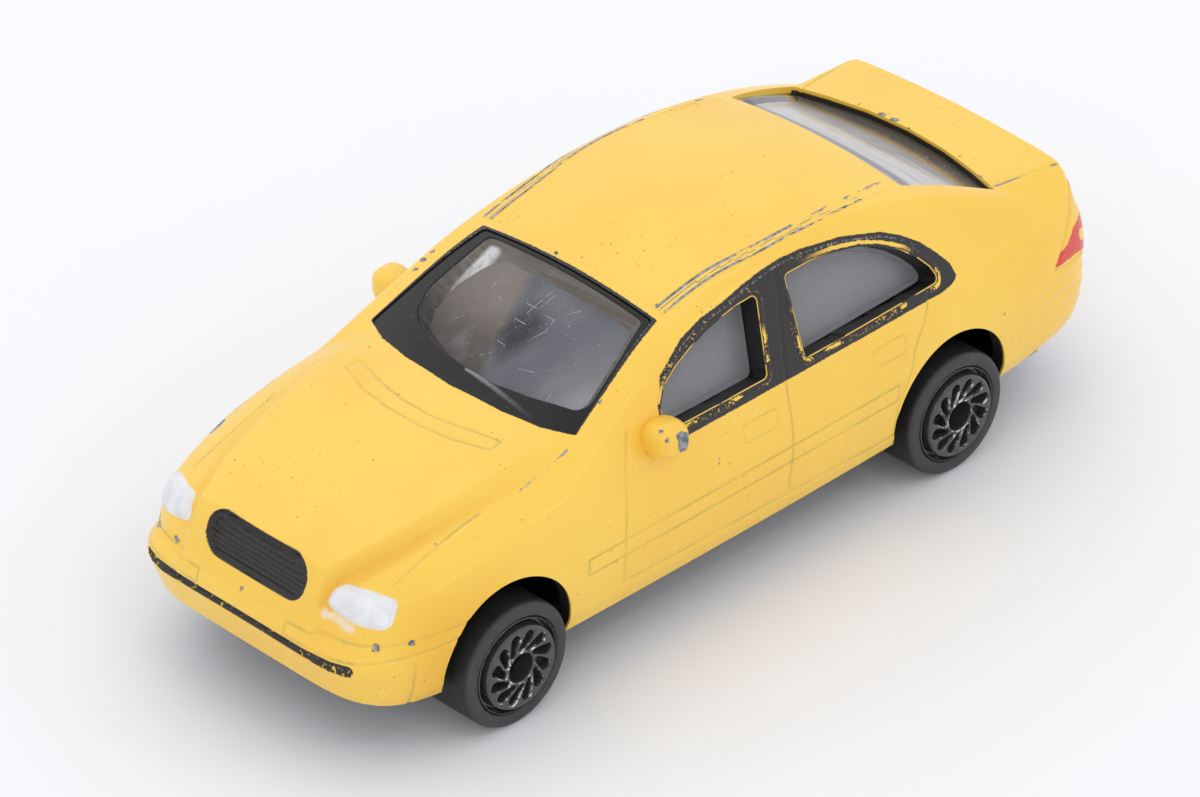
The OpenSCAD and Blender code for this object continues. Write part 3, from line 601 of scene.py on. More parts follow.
class Wire:
    """A socket of a node tree that takes part in sums as a number does."""

    def __init__(self, tree, socket):
        self.tree, self.socket = tree, socket

    def make(self, kind, inputs, output=0, **settings):
        """Adds a shader node of a kind, with values or wires for its sockets, and gives one output."""
        node = self.tree.nodes.new("ShaderNode" + kind)
        for name, value in settings.items():
            setattr(node, name, value)
        for name, value in inputs.items():
            if isinstance(value, Wire):
                self.tree.links.new(value.socket, node.inputs[name])
            else:
                node.inputs[name].default_value = value
        return Wire(self.tree, node.outputs[output])

    def maths(self, operation, first, second=0.0):
        return self.make("Math", {0: first, 1: second}, operation=operation)

    def __add__(self, other):
        return self.maths("ADD", self, other)

    __radd__ = __add__

    def __sub__(self, other):
        return self.maths("SUBTRACT", self, other)

    def __rsub__(self, other):
        return self.maths("SUBTRACT", other, self)

    def __mul__(self, other):
        return self.maths("MULTIPLY", self, other)

    __rmul__ = __mul__

    def __abs__(self):
        return self.maths("ABSOLUTE", self)

    def either(self, other):
        return self.maths("MAXIMUM", self, other)

    def step(self, low, high):
        """Smooth step from 0 at low to 1 at high."""
        return self.make("MapRange", {"Value": self, "From Min": low, "From Max": high},
                         interpolation_type="SMOOTHSTEP")

    def under(self, edge, soft):
        """1 where the value is under an edge, 0 where it is over it."""
        return 1 - self.step(edge - soft, edge + soft)

    def field(self, name):
        """A field stored on the mesh's points."""
        return self.make("Attribute", {}, "Fac", attribute_name=name)

    def vector(self, operation, first, second, output=0):
        return self.make("VectorMath", {0: first, 1: second}, output, operation=operation)

    def stretched(self, scale):
        return self.vector("MULTIPLY", self, scale)

    def part(self, axis):
        return self.make("SeparateXYZ", {0: self}, axis)

    def noise(self, scale, detail=2.0, rough=0.5):
        """Noise from 0 to 1; scale is in patches a millimetre."""
        return self.make("TexNoise", {"Vector": self, "Scale": scale, "Detail": detail, "Roughness": rough})

    def dots(self, scale, share, size):
        """Scattered round dots: one in each cell whose random number lies in the given share."""
        cells = {"Vector": self, "Scale": scale}
        pick = self.make("SeparateColor", {0: self.make("TexVoronoi", cells, 1)})
        near = self.make("TexVoronoi", cells).under(size, size * 0.35)
        return near * pick.step(1 - share, 1 - share + 0.02)

    def spot(self, centre, edge, soft):
        """1 within a distance of a place, 0 beyond it."""
        return self.vector("DISTANCE", self, centre, 1).under(edge, soft)

    def stroke(self, start, end, width):
        """1 on a straight stroke between two places seen from above, 0 away from it."""
        run = np.subtract(end, start)
        length = float(np.hypot(*run))
        unit = (*(run / length).tolist(), 0.0)
        offset = self.vector("SUBTRACT", self.stretched((1, 1, 0)), (*start, 0.0))
        along = self.make("Clamp", {0: self.vector("DOT_PRODUCT", offset, unit, 1), 2: length})
        nearest = self.make("VectorMath", {0: unit, "Scale": along}, operation="SCALE")
        return offset.spot(nearest, width * 0.6, width * 0.4)

    def blend(self, low, high):
        """Mixes two colours, or wires of colours, by this value."""
        low, high = (side if isinstance(side, Wire) else (*side, 1.0) for side in (low, high))
        return self.make("Mix", {0: self, 6: low, 7: high}, 2, data_type="RGBA")

    def mixed(self, low, high):
        """Mixes two numbers by this value."""
        return self.make("Mix", {0: self, 2: low, 3: high}, data_type="FLOAT")

    def bumped(self, depth):
        """A normal from this height, which runs from 0 to 1 over a depth in millimetres."""
        return self.make("Bump", {"Strength": 1.0, "Distance": depth * MM, "Height": self})


def opened_finish(name):
    """A new material's principled shader, and a wire of object coordinates in millimetres."""
    material = bpy.data.materials.new(name)
    material.use_nodes = True
    tree = material.node_tree
    tree.nodes.clear()
    output = tree.nodes.new("ShaderNodeOutputMaterial")
    shader = tree.nodes.new("ShaderNodeBsdfPrincipled")
    tree.links.new(shader.outputs[0], output.inputs[0])
    place = Wire(tree, tree.nodes.new("ShaderNodeTexCoord").outputs["Object"])
    return material, shader, place.stretched((1 / MM,) * 3)


def joined(shader, **wires):
    """Links wires to a shader's sockets, or sets plain values on them."""
    for name, value in wires.items():
        socket = shader.inputs[name.replace("_", " ")]
        if isinstance(value, Wire):
            value.tree.links.new(value.socket, socket)
        else:
            socket.default_value = value


def paint_finish(paint):
    """Yellow enamel over metal: faint tone, specks, tinted engraved lines, worn edges and chips, painted
    shade in the hollows and low on the front wings, a painted highlight below a headlight, and the black,
    silver and red areas laid over it with ragged edges."""
    material, shader, place = opened_finish("worn_yellow_enamel")
    broad, fine, ragged = place.noise(0.09, 3), place.noise(2.3, 4, 0.6), place.noise(6.0, 3, 0.6)
    streak = place.stretched((0.35, 1.6, 1.6)).noise(1.0, 4, 0.65)
    forward, across, height = (place.part(axis) for axis in range(3))
    wobble, fray = fine - 0.5, ragged - 0.5

    def area(name, uneven, soft=0.03):
        """1 inside an area whose edge is made uneven."""
        return (place.field(name) + uneven).under(0, soft)

    yellow = broad.step(0.3, 0.75).blend(paint.yellow, paint.yellow_warm)
    # Painted shade in deeper orange: in the hollows beside the bonnet's raised middle, more on the left-hand
    # side, and low on the front wings.
    painted_shade = place.field("hollow_shade").step(0.1, 0.9) * (across.step(-4, 4) * 0.55 + 0.3)
    painted_shade = painted_shade.either(forward.step(21, 27) * forward.under(33, 2.5) * height.under(12.5, 2.5) * 0.8)
    yellow = painted_shade.blend(yellow, paint.yellow_shaded)

    # Engraved lines, specks and stains
    seam = abs(place.field("seam")).under(0.085, 0.06) * (fine.step(0.25, 0.6) * 0.6 + 0.4)
    faint = place.noise(0.22, 2).step(0.36, 0.62) * 0.55 + 0.25
    colour = (seam * faint).blend(yellow, paint.line_tint)
    flat = place.stretched((1, 1, 0))
    dirty = flat.spot((1.5, 2.0, 0.0), 3.8, 2.6).either(flat.spot((30.0, -2.5, 0.0), 3.2, 2.2))
    grime = place.stretched((1, 1, 0.6)).noise(0.3, 3).step(0.46, 0.68).either(dirty)
    specks = place.dots(1.05, 0.22, 0.1).either(place.dots(2.1, 0.2, 0.14)).either(place.dots(0.5, 0.1, 0.07))
    specks = (specks * grime).either(place.dots(3.3, 0.3, 0.17) * dirty * 0.7)
    colour = (specks * 0.85).blend(colour, paint.speck)
    brown_tint = place.noise(0.5, 4, 0.7).step(0.62, 0.75) * grime
    colour = (brown_tint * 0.3).blend(colour, paint.line_tint)

    # Lamps, and a painted highlight below the left headlight
    colour = area("red", wobble * 0.3).blend(colour, paint.red)
    # The tail lamps' clear part, and the painted highlight below the left headlight, in silver.
    pale = (area("clear", wobble * 0.3) * 0.75).either(area("lamp_highlight", wobble * 1.1, 0.25) * 0.5)
    colour = pale.blend(colour, paint.silver)
    greyed = place.stretched((1, 0.8, 0.3)).noise(0.9, 2).step(0.2, 0.75)
    silver = greyed.blend(paint.silver_dull, paint.silver)
    colour = area("lamp", wobble * 0.09).blend(colour, silver)

    # Black areas, and the yellow that is rubbed free in them
    inside, reveal = place.field("inside"), place.field("reveal")
    dark = area("dark", fray * (forward.step(29, 31) * -0.12 + 0.17)).either(inside.step(0.4, 0.7))
    rear, upper = forward.under(-4.6, 0.2), height.step(19.4, 20.4)
    solid = rear * upper * forward.under(-9.5, 2.0)
    patchy = (place.noise(0.5, 2) + fray * 0.5).step(0.54, 0.58)
    bead = abs(reveal - 0.3 - wobble * 0.3).under(0.13, 0.03) * solid.either(patchy * (1 - upper))
    lip = abs(reveal - 0.06).under(0.04, 0.015) * (place.noise(0.4, 1) + fray * 0.25).step(0.38, 0.43)
    flecks = (ragged + fine * 0.4).step(0.78, 0.82) * abs(reveal - 0.46).under(0.15, 0.08)
    flecks = flecks * (place.noise(0.35, 2) - rear * 0.1).step(0.45, 0.55)
    slot = (fine + fray * 0.5 + across.step(5, 10) * 0.07).step(0.62, 0.66)
    slot = slot * abs(place.field("slot") + 0.2).under(0.24, 0.05) * height.under(8.62, 0.12)
    outside = 1 - inside.step(0.03, 0.12)
    rub = bead.either(lip * (1 - solid)).either(flecks) * reveal.step(0.01, 0.03)
    rub = (rub * outside).either(slot)
    black = dark * (1 - rub)
    worn = (ragged.step(0.45, 0.7) * 0.55).blend(paint.black, paint.black_worn)
    dotted = abs(place.field("dark") + 0.3).under(0.07, 0.03) * (ragged + fine * 0.3).step(0.68, 0.72)
    worn = (dotted * upper * outside * 0.5).blend(worn, paint.metal_light)
    colour = black.blend(colour, worn)

    # Bare metal
    rail = abs(place.field("gutter")).under(0.12, 0.04)
    rail = rail * (streak + forward.step(-22, 3) * 0.17).step(0.55, 0.59)
    edge = place.field("wear").under(0.11, 0.05) * (streak * 0.6 + fine * 0.5).step(0.58, 0.63)
    bare = rail.either(edge).either(area("chip", wobble * 0.7 + fray * 0.3) * outside)
    colour = bare.blend(colour, fine.step(0.35, 0.7).blend(paint.metal, paint.metal_light))

    rough = bare.mixed(black.mixed(broad * 0.1 + fine * 0.06 + paint.roughness, 0.42), 0.45)
    peel = place.noise(0.55, 1) * 0.16 + (1 - bare.either(rub * dark)) * 0.9
    joined(shader, Base_Color=colour, Roughness=rough, Metallic=bare * 0.6, Normal=peel.bumped(0.03))
    return material


def pane_finish(glass):
    """Smoked, scuffed plastic: a thin haze over what lies behind, dust and fine scratches, a paler wall round
    the sunk pane, painted light, highlights, reflections and shade, and a black border where the border field
    is above zero."""
    material, shader, place = opened_finish("scuffed_smoked_plastic")
    fine, broad = place.noise(1.6, 4, 0.65), place.noise(0.14, 2)
    edge, pale = place.field("border"), place.field("pale")
    wall, rear = edge.step(-0.97, -0.93), pale.step(0.6, 0.9)
    forward, across = place.part(0), place.part(1)
    wobble = fine - 0.5
    strokes = place.stroke(*SCRATCHES[0], SCRATCH_WIDTH)
    for ends in SCRATCHES[1:]:
        strokes = strokes.either(place.stroke(*ends, SCRATCH_WIDTH))
    dust = place.dots(1.5, 0.3, 0.09).either(place.dots(3.1, 0.3, 0.13) * place.noise(0.25, 2).step(0.4, 0.6))
    mark = (strokes * 0.7).either(dust * 0.55) * fine.step(0.32, 0.55)

    # Haze: warm and cool halves, painted light towards the left, dark in the middle, painted shade towards
    # the windscreen's foot, painted reflection in pale streaks at the back
    side = (across - (forward - 6) * 0.4 + 2.8 + wobble * 1.2).step(-0.5, 0.7)
    haze = side.blend(glass.haze_warm, glass.haze_cool)
    # Painted light: the panes lighter towards the left-hand side and over the rear door panes.
    painted_bright = (across + forward * 0.3 + (broad - 0.5) * 2).step(6.5, 12.5)
    painted_bright = painted_bright.either(forward.under(-4, 1) * forward.step(-20.6, -19.8))
    haze = (painted_bright * 0.8).blend(haze, glass.rub_and_highlight_haze)
    # Painted highlight towards the left-hand windscreen pillar, on the front side pane and the windscreen's
    # corner.
    corner = (across + forward * 0.5).step(12.5, 15.5) * forward.step(4, 8)
    haze = (corner * 0.6).blend(haze, glass.pale)
    blot = place.stretched((0.42, 0.6, 0)).spot((4.25, 0.2, 0.0), 0.9, 0.75) * fine.step(0.2, 0.55)
    # Dark in the middle, and painted shade towards the windscreen's foot on its right-hand half, both in the
    # border's black.
    haze = (blot * 0.85).either(forward.step(8, 13) * (1 - side) * 0.6).blend(haze, glass.border)
    # Painted reflection: pale streaks along the rear window, faintly on the side panes.
    long_streaks = place.stretched((2.2, 0.12, 2.2)).noise(1.0, 3, 0.6)
    haze = pale.blend(haze, long_streaks.step(0.1, 0.65).blend(glass.rub_and_highlight_haze, glass.pale))
    haze = (place.noise(0.4, 3).step(0.45, 0.75) * 0.3).blend(haze, glass.rub_and_highlight_haze)

    # The bevel round the pane, darker towards the foot, with a painted highlight in one corner; then the rear
    # window's foot and head, with painted reflection and painted shade
    streak = place.stretched((0.35, 3.0, 3.0)).noise(1.0, 3, 0.6)
    # Painted highlight on the bevel at the windscreen's right-hand top corner, in the colour of dust and
    # scratches.
    shine = across.under(-6.4, 0.3) * forward.step(5.3, 5.6) * (edge + (forward - 6) * 0.1).under(-0.42, 0.08)
    shine = shine * (forward.under(8.6, 2.2) * (streak.step(0.25, 0.55) * 0.5 + 0.5))
    bevel = (long_streaks.step(0.35, 0.7) * 0.3).blend(glass.bevel, glass.rub_and_highlight_haze)
    bevel = (forward.step(7.5, 12.5) * 0.75).blend(bevel, glass.border)
    bevel = shine.blend(rear.blend(bevel, glass.rub_and_highlight_haze), glass.mark)
    haze = wall.blend(haze, bevel)
    # Painted reflection of the boot's yellow wall in a tan band along the rear window's foot, with painted
    # shade in deep tan at the very bottom.
    foot = forward + 30.15 - across * across * 0.013 + wobble * 0.6
    brown_tint = foot.under(0.8, 0.5).blend(glass.tan, glass.tan_deep)
    haze = (foot.under(1.7, 0.8) * rear * 0.9).blend(haze, brown_tint)
    # Painted shade: a darker band along the rear window's head, under the roof's edge.
    brow = abs(forward + 22.15 + (long_streaks - 0.5) * 0.3).under(0.42, 0.2) * rear
    haze = (brow * 0.75).blend(haze, glass.haze_cool)
    haze = mark.blend(haze, glass.mark)

    border = edge.step(-0.02, 0.02)
    # Painted highlights: light streaks along the windscreen's border.
    gleam = place.stroke(*BORDER_HIGHLIGHTS[0], 0.24) * across.under(3.5, 4.5) * fine.step(0.2, 0.5)
    gleam = gleam.either(place.stroke(*BORDER_HIGHLIGHTS[1], 0.06) * 0.7)
    rim = (gleam * 0.8).either(dust * 0.3).blend(glass.border, glass.rub_and_highlight_haze)
    cover = (broad * 0.2 + glass.haze + pale * 0.2 + wall * 0.3).either(mark).either(blot * 0.9)
    wave = place.noise(0.25, 2) + mark * 0.05
    joined(shader, Base_Color=border.blend(haze, rim), Alpha=border.either(cover), Normal=wave.bumped(0.02),
           Roughness=fine * 0.14 + 0.09 + mark * 0.3, IOR=1.49, Specular_IOR_Level=0.3)
    return material


def rubber_finish(wheel):
    """Satin black tyre: faint dust, rubbed patches, painted shade that darkens the running face, and a grain
    too fine to see one by one.
    """
    material, shader, place = opened_finish("satin_black_tyre")
    dust, grain = place.noise(0.8, 4, 0.6), place.noise(7, 3)
    rubbed = place.noise(0.35, 3).step(0.55, 0.75)
    colour = (dust.step(0.45, 0.8) * 0.45).blend(wheel.tyre, wheel.tyre_dusty)
    # Painted shade: the running face darker, as under the wheel arch.
    tread_shade = place.field("radius").step(4.84, 4.94)
    joined(shader, Base_Color=(tread_shade * 0.75).blend(colour, wheel.tread_shade),
           Roughness=rubbed * -0.14 + 0.52 + dust * 0.08, Normal=(grain * 0.5 + dust * 0.5).bumped(0.025))
    return material


def hub_finish(wheel):
    """Gloss black moulding with a trace of dust in it, and painted glints in metallic spots along its slots'
    edges.
    """
    material, shader, place = opened_finish("gloss_black_hub")
    dust, ripple = place.noise(1.4, 4, 0.6), place.noise(2.2, 2)
    dusty = (dust.step(0.5, 0.8) * 0.3).either(place.dots(3.2, 0.06, 0.12) * 0.5)
    colour = dusty.blend(wheel.hub, wheel.tyre_dusty)
    # Painted glints: light metallic spots along the slots' lips and round the hole.
    painted_bright = place.field("lips").step(0.45, 0.95) * (place.noise(1.7, 3, 0.6) + ripple * 0.2).step(0.62, 0.72)
    joined(shader, Base_Color=painted_bright.blend(colour, wheel.rubbed), Roughness=dust * 0.1 + 0.05,
           Metallic=painted_bright * 0.8, Normal=ripple.bumped(0.03), Specular_IOR_Level=0.8)
    return material


def moulding_finish(name, colour, worn, roughness):
    """Black moulded plastic with a fine spark-eroded grain and slightly paler rubbed patches."""
    material, shader, place = opened_finish(name)
    grain, patch = place.noise(4.5, 4, 0.6), place.noise(0.2, 3)
    tone = (patch.step(0.45, 0.75) * 0.6 + grain * 0.2).blend(colour, worn)
    joined(shader, Base_Color=tone, Roughness=grain * 0.12 + roughness, Normal=grain.bumped(0.03))
    return material


def wire_finish(colour):
    """Drawn steel wire: fine lines along its length."""
    material, shader, place = opened_finish("drawn_wire")
    drawn = place.stretched((6, 0.3, 6)).noise(1.5, 4)
    tone = drawn.blend(colour, [c * 0.6 for c in colour])
    joined(shader, Base_Color=tone, Metallic=1.0, Roughness=drawn * 0.2 + 0.25, Normal=drawn.bumped(0.01))
    return material


def made_piece(name, points, faces, material, body, nodes, fields, sharp=55, turned=True):
    """A mesh object from points in millimetres and triangles, smooth except over sharp angles, riding on a
    body and standing for the packed nodes it replaces. With turned, its faces are made to point outwards."""
    mesh = bpy.data.meshes.new(name)
    mesh.vertices.add(len(points))
    mesh.vertices.foreach_set("co", (np.asarray(points) * MM).astype(np.float32).ravel())
    mesh.loops.add(faces.size)
    mesh.loops.foreach_set("vertex_index", faces.astype(np.int32).ravel())
    mesh.polygons.add(len(faces))
    mesh.polygons.foreach_set("loop_start", np.arange(0, faces.size, 3, dtype=np.int32))
    mesh.update(calc_edges=True)
    for label, values in fields.items():
        field = mesh.attributes.new(label, "FLOAT", "POINT")
        field.data.foreach_set("value", values.astype(np.float32).ravel())
    mesh.shade_smooth()
    mesh.set_sharp_from_angle(angle=math.radians(sharp))
    mesh.materials.append(material)
    piece = bpy.data.objects.new(name, mesh)
    bpy.context.scene.collection.objects.link(piece)
    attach(piece, body)
    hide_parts(*nodes)
    if turned:
        work = bmesh.new()
        work.from_mesh(mesh)
        bmesh.ops.recalc_face_normals(work, faces=work.faces)
        work.to_mesh(mesh)
        work.free()


def mirror_pod(side):
    """A door mirror: rings round a line from the door outwards, each a box with round corners whose size
    swells and then closes, flattened on the face that looks back."""
    b = np.linspace(-1.45, 1.52, 34)[:, None]
    a = np.linspace(0, 2 * np.pi, 96, endpoint=False)[None, :]
    swell = np.cos(b)**0.62
    box = (np.abs(np.cos(a))**3.2 + np.abs(np.sin(a))**3.2)**(-1 / 3.2)
    x = box * np.cos(a) * swell
    z = box * np.sin(a) * swell
    x = np.where(x < 0, x * 1.15, x * 1.75) + 8.75
    y = 14.1 + 1.72 * np.sign(b) * np.abs(np.sin(b))**0.85 + 0 * a
    z = 16.95 + z * 1.42 + 0.12 * (y - 14.1)
    return np.stack([x, side * y, z], -1)


def screen_rings(outer, inner, foot, depth, lift):
    """Rings of a recessed pane: from its middle out to the foot of a bevel, up the bevel to the inner
    outline, over the border to the outer outline, down its edge and back under to the middle. The border
    field is -1 on the pane, lies between -1 and 0 on the bevel and is above 0 on the border."""
    centre = foot.mean(0)
    rings = [(centre + (foot - centre) * s, depth, -1.0) for s in np.linspace(0.04, 1, 18)]
    rings += [(foot + (inner - foot) * s, depth + (0.2 - depth) * s, -0.9 + 0.8 * s)
              for s in (0.04, 0.2, 0.35, 0.5, 0.65, 0.8, 0.93)]
    rings += [(inner + (outer - inner) * s, 0.13, 0.7) for s in np.linspace(0, 1, 8)]
    rings += [(outer, d, 1.0) for d in (0.2, 0.7, 1.2)]
    rings += [(centre + (outer - centre) * s, depth + 0.6, 1.0) for s in np.linspace(0.97, 0.04, 8)]
    points = np.stack([lift(line, d) for line, d, _ in rings])
    border = np.repeat([b for _, _, b in rings], len(outer))
    return points, np.concatenate([border, [-1, 1]])


def on_top(line, depth):
    """An outline over the top, sunk by a depth square to a screen's slope."""
    x, y = line.T
    return np.stack([x, y, top(x, y) - depth * math.hypot(1, SCREEN_SLOPE)], 1)


def on_back(line, depth):
    """An outline of the rear window, which sinks further towards the boot."""
    return on_top(line, 0.2 + 0.4 * depth + 0.4 * np.clip((-20.6 - line[:, 0]) / 8.4, 0, 1))


def on_left_side(line, depth):
    """An outline on the cabin's left side, sunk by a depth square to it."""
    x, z = line.T
    lean = math.hypot(1, SIDE_SLOPE)
    return np.stack([x, side_y(x, z) - depth * SIDE_SLOPE / lean, z - depth / lean], 1)


def tyre_rings(count):
    """A tyre: a closed profile of radius against distance from its outer face, carried round the axle."""
    shoulder = np.linspace(0, np.pi / 2, 9)
    profile = [(3.87, -5.7), (3.87, -0.3), (3.9, -0.1), (3.98, -0.02), (4.1, 0), (4.3, 0), (4.45, -0.005)]
    profile += [(4.52 + 0.46 * np.sin(s), -0.5 + 0.49 * np.cos(s)) for s in shoulder]
    profile += [(TYRE_R - 0.02, -0.9), (TYRE_R, -1.3), (TYRE_R, -3), (TYRE_R, -4.7), (TYRE_R - 0.02, -5.1)]
    profile += [(4.52 + 0.46 * np.cos(s), -5.5 - 0.49 * np.sin(s)) for s in shoulder]
    profile += [(4.3, -6), (4.0, -6), (3.9, -5.92)]
    return carried_round(np.array(profile), count)


def carried_round(profile, count):
    """A profile of radius and distance along the axle, turned in even steps about the axle."""
    a = np.linspace(0, 2 * np.pi, count, endpoint=False)[None, :]
    r, y = profile[:, :1], profile[:, 1:]
    return np.stack([r * np.cos(a), y + 0 * a, r * np.sin(a)], -1)


def slot_distance(r, a, slots, swirl):
    """Signed distance to swept slots on a wheel's face: in each slot's own frame, a straight run from a
    small circle near the middle to a larger one outside it, turned by the swirl."""
    pitch = 2 * np.pi / slots
    start, end = np.array([1.56, 0.0]), 2.54 * np.array([np.cos(swirl), np.sin(swirl)])
    run = end - start
    best = np.full(r.shape, 9.0)
    folded = np.mod(a, pitch)
    for turn in (-1, 0, 1):
        b = folded + turn * pitch
        px, py = r * np.cos(b) - start[0], r * np.sin(b) - start[1]
        t = np.clip((px * run[0] + py * run[1]) / (run @ run), 0, 1)
        best = np.minimum(best, np.hypot(px - t * run[0], py - t * run[1]) - 0.21 - 0.23 * t)
    return best


def hub_rings(count, slots, swirl):
    """A hub: a profile from the back of its boss round its barrel to the rim, the channel and the raised
    drum, with round-lipped slots sunk into the drum's face and a round hole in the middle."""
    profile = [(0.7, -3.7), (1.42, -3.7), (1.5, -3.6), (1.5, -2.5), (2.95, -2.4), (3.0, -2.5), (3.05, -5.3),
               (3.1, -5.4), (3.75, -5.4), (3.84, -5.3), (3.84, -0.2), (3.82, -0.09), (3.78, -0.04),
               (3.73, -0.04), (3.69, -0.09), (3.67, -0.3), (3.65, -0.62), (3.58, -0.7), (3.44, -0.7),
               (3.38, -0.62), (3.35, -0.2), (3.34, 0.1), (3.32, 0.22), (3.28, 0.31), (3.22, 0.37),
               (3.15, 0.395)]
    profile += [(r, 0.4) for r in np.linspace(3.1, 1.34, 62)]
    profile += [(1.29, 0.392), (1.24, 0.37), (1.19, 0.32), (1.16, 0.25), (1.14, 0.15), (1.12, -0.6),
                (1.1, -1.5), (1.0, -1.6), (0.4, -1.62)]
    rings = carried_round(np.array(profile), count)
    r = np.hypot(rings[..., 0], rings[..., 2])
    a = np.arctan2(rings[..., 2], rings[..., 0])
    distance, lip = slot_distance(r, a, slots, swirl), 0.16
    sunk = lip - np.sqrt(lip**2 - np.clip(lip - distance, 0, lip)**2) + 0.7 * ease(-distance / 0.12)
    face = (rings[..., 1] > 0.1) & (r < 3.14)
    rings[..., 1] -= np.where(face, sunk, 0)
    return rings, np.where(face, bell(distance - 0.03, 0.07) + bell(r - 1.24, 0.07), 0)


def colour_property(name, description, default):
    return bpy.props.FloatVectorProperty(name=name, description=description, default=default, subtype="COLOR",
                                         size=3, min=0, max=1)


def length_property(name, description, default, low, high):
    return bpy.props.FloatProperty(name=name, description=description, default=default, min=low, max=high,
                                   precision=6, unit="LENGTH")


def share_property(name, description, default):
    return bpy.props.FloatProperty(name=name, description=description, default=default, min=0, max=1,
                                   subtype="FACTOR")


def power_property(name, description, default):
    return bpy.props.FloatProperty(name=name, description=description, default=default, min=0,
                                   subtype="POWER", unit="POWER")


class ToyCarShell(bpy.types.PropertyGroup):
    """Sizes of the shell and its windows."""
    cell: length_property("Cell", "Spacing of the shell's grid", 0.000155, 0.0001, 0.001)
    wall: length_property("Wall", "Thickness of the casting", 0.0012, 0.0006, 0.0015)
    screen_depth: length_property("Screen depth", "Depth of the windscreen's pane", 0.0011, 0.0004, 0.0016)
    pane_depth: length_property("Pane depth", "Depth of the side panes", 0.0017, 0.0004, 0.002)


class ToyCarPaint(bpy.types.PropertyGroup):
    """Colours of the painted casting."""
    yellow: colour_property("Yellow", "Enamel on most of the shell", (0.96, 0.625, 0.085))
    yellow_warm: colour_property("Warm yellow", "Enamel where it lies thicker", (0.94, 0.575, 0.07))
    # Painted shade: the colour of the hollows beside the bonnet and of the low front wings.
    yellow_shaded: colour_property("Deep yellow", "Enamel that has run into hollows", (0.86, 0.46, 0.03))
    line_tint: colour_property("Line tint", "Tint that collects in engraved lines", (0.5, 0.42, 0.08))
    speck: colour_property("Speck", "Specks of dirt", (0.2, 0.12, 0.04))
    metal: colour_property("Metal", "Bare casting in a chip", (0.13, 0.135, 0.15))
    metal_light: colour_property("Light metal", "Polished spots in a chip", (0.42, 0.43, 0.46))
    black: colour_property("Black", "Window frames, grille and bumper slot", (0.014, 0.013, 0.014))
    black_worn: colour_property("Worn black", "Black paint where it has thinned", (0.055, 0.037, 0.024))
    silver: colour_property("Silver", "Headlights", (0.85, 0.85, 0.87))
    silver_dull: colour_property("Dull silver", "Headlights where they have greyed", (0.68, 0.68, 0.71))
    red: colour_property("Red", "Tail lamps", (0.72, 0.07, 0.05))
    roughness: share_property("Roughness", "Roughness of sound enamel", 0.18)


class ToyCarGlass(bpy.types.PropertyGroup):
    """Colours of the windows."""
    haze_warm: colour_property("Warm haze", "Scuffed haze on the right-hand half", (0.272, 0.228, 0.198))
    # Also the painted shade along the rear window's head.
    haze_cool: colour_property("Cool haze", "Scuffed haze on the left-hand half", (0.165, 0.168, 0.19))
    # Rubbed patches, and also the painted light on the left-hand and rear door panes and the painted
    # highlights on the windscreen's border.
    rub_and_highlight_haze: colour_property("Light haze", "Rubbed patches", (0.33, 0.33, 0.35))
    # Painted reflection in streaks over the rear window, and the painted highlight towards the left-hand
    # windscreen pillar.
    pale: colour_property("Pale", "Streaks over the rear window", (0.6, 0.59, 0.6))
    # Dust and scratches, and also the painted highlight on the windscreen's bevel.
    mark: colour_property("Mark", "Dust and scratches", (0.66, 0.66, 0.67))
    bevel: colour_property("Bevel", "Clear edge round the windscreen", (0.13, 0.11, 0.085))
    # Painted reflection of the boot's yellow wall along the foot of the rear window.
    tan: colour_property("Tan", "Stain along the foot of the rear window", (0.5, 0.33, 0.13))
    tan_deep: colour_property("Deep tan", "Shade at the foot of the rear window", (0.06, 0.045, 0.022))
    # Also the painted shade towards the windscreen's foot.
    border: colour_property("Border", "Printed border of the screens", (0.011, 0.0105, 0.011))
    haze: share_property("Haze", "Share of the light that the scuffed surface stops", 0.66)


class ToyCarWheels(bpy.types.PropertyGroup):
    """Wheel details and colours."""
    slots: bpy.props.IntProperty(name="Slots", description="Slots in each wheel face", default=12, min=6,
                                 max=16)
    swirl: bpy.props.FloatProperty(name="Swirl", description="Turn of a slot from its inner to its outer end",
                                   default=math.radians(20), subtype="ANGLE")
    tyre: colour_property("Tyre", "Tyre rubber", (0.036, 0.036, 0.039))
    tyre_dusty: colour_property("Dusty tyre", "Dust on the rubber", (0.075, 0.073, 0.072))
    # Painted shade on the running face of the tyre.
    tread_shade: colour_property("Tread", "Running face of the tyre", (0.007, 0.007, 0.007))
    # Painted glints on the hub, in spots along the edges of its slots.
    rubbed: colour_property("Rubbed hub", "Bright spots on the edges of the hub's slots", (0.62, 0.63, 0.66))
    hub: colour_property("Hub", "Hub moulding", (0.034, 0.034, 0.036))


class ToyCarStage(bpy.types.PropertyGroup):
    """Floor, light and camera."""
    floor: colour_property("Floor", "Floor and backdrop", (0.92, 0.925, 0.945))
    sky: bpy.props.FloatProperty(name="Sky", description="Strength of the even light all round", min=0, max=2,
                                 default=0.985)
    key: power_property("Key", "Power of the softbox", 1.3)
    fill: power_property("Fill", "Power of each small lamp", 0.28)
    lens: bpy.props.FloatProperty(name="Lens", description="Focal length", min=10, max=1000, precision=3,
                                  default=FOCAL_PIXELS / IMAGE_WIDTH * SENSOR_WIDTH, unit="CAMERA")


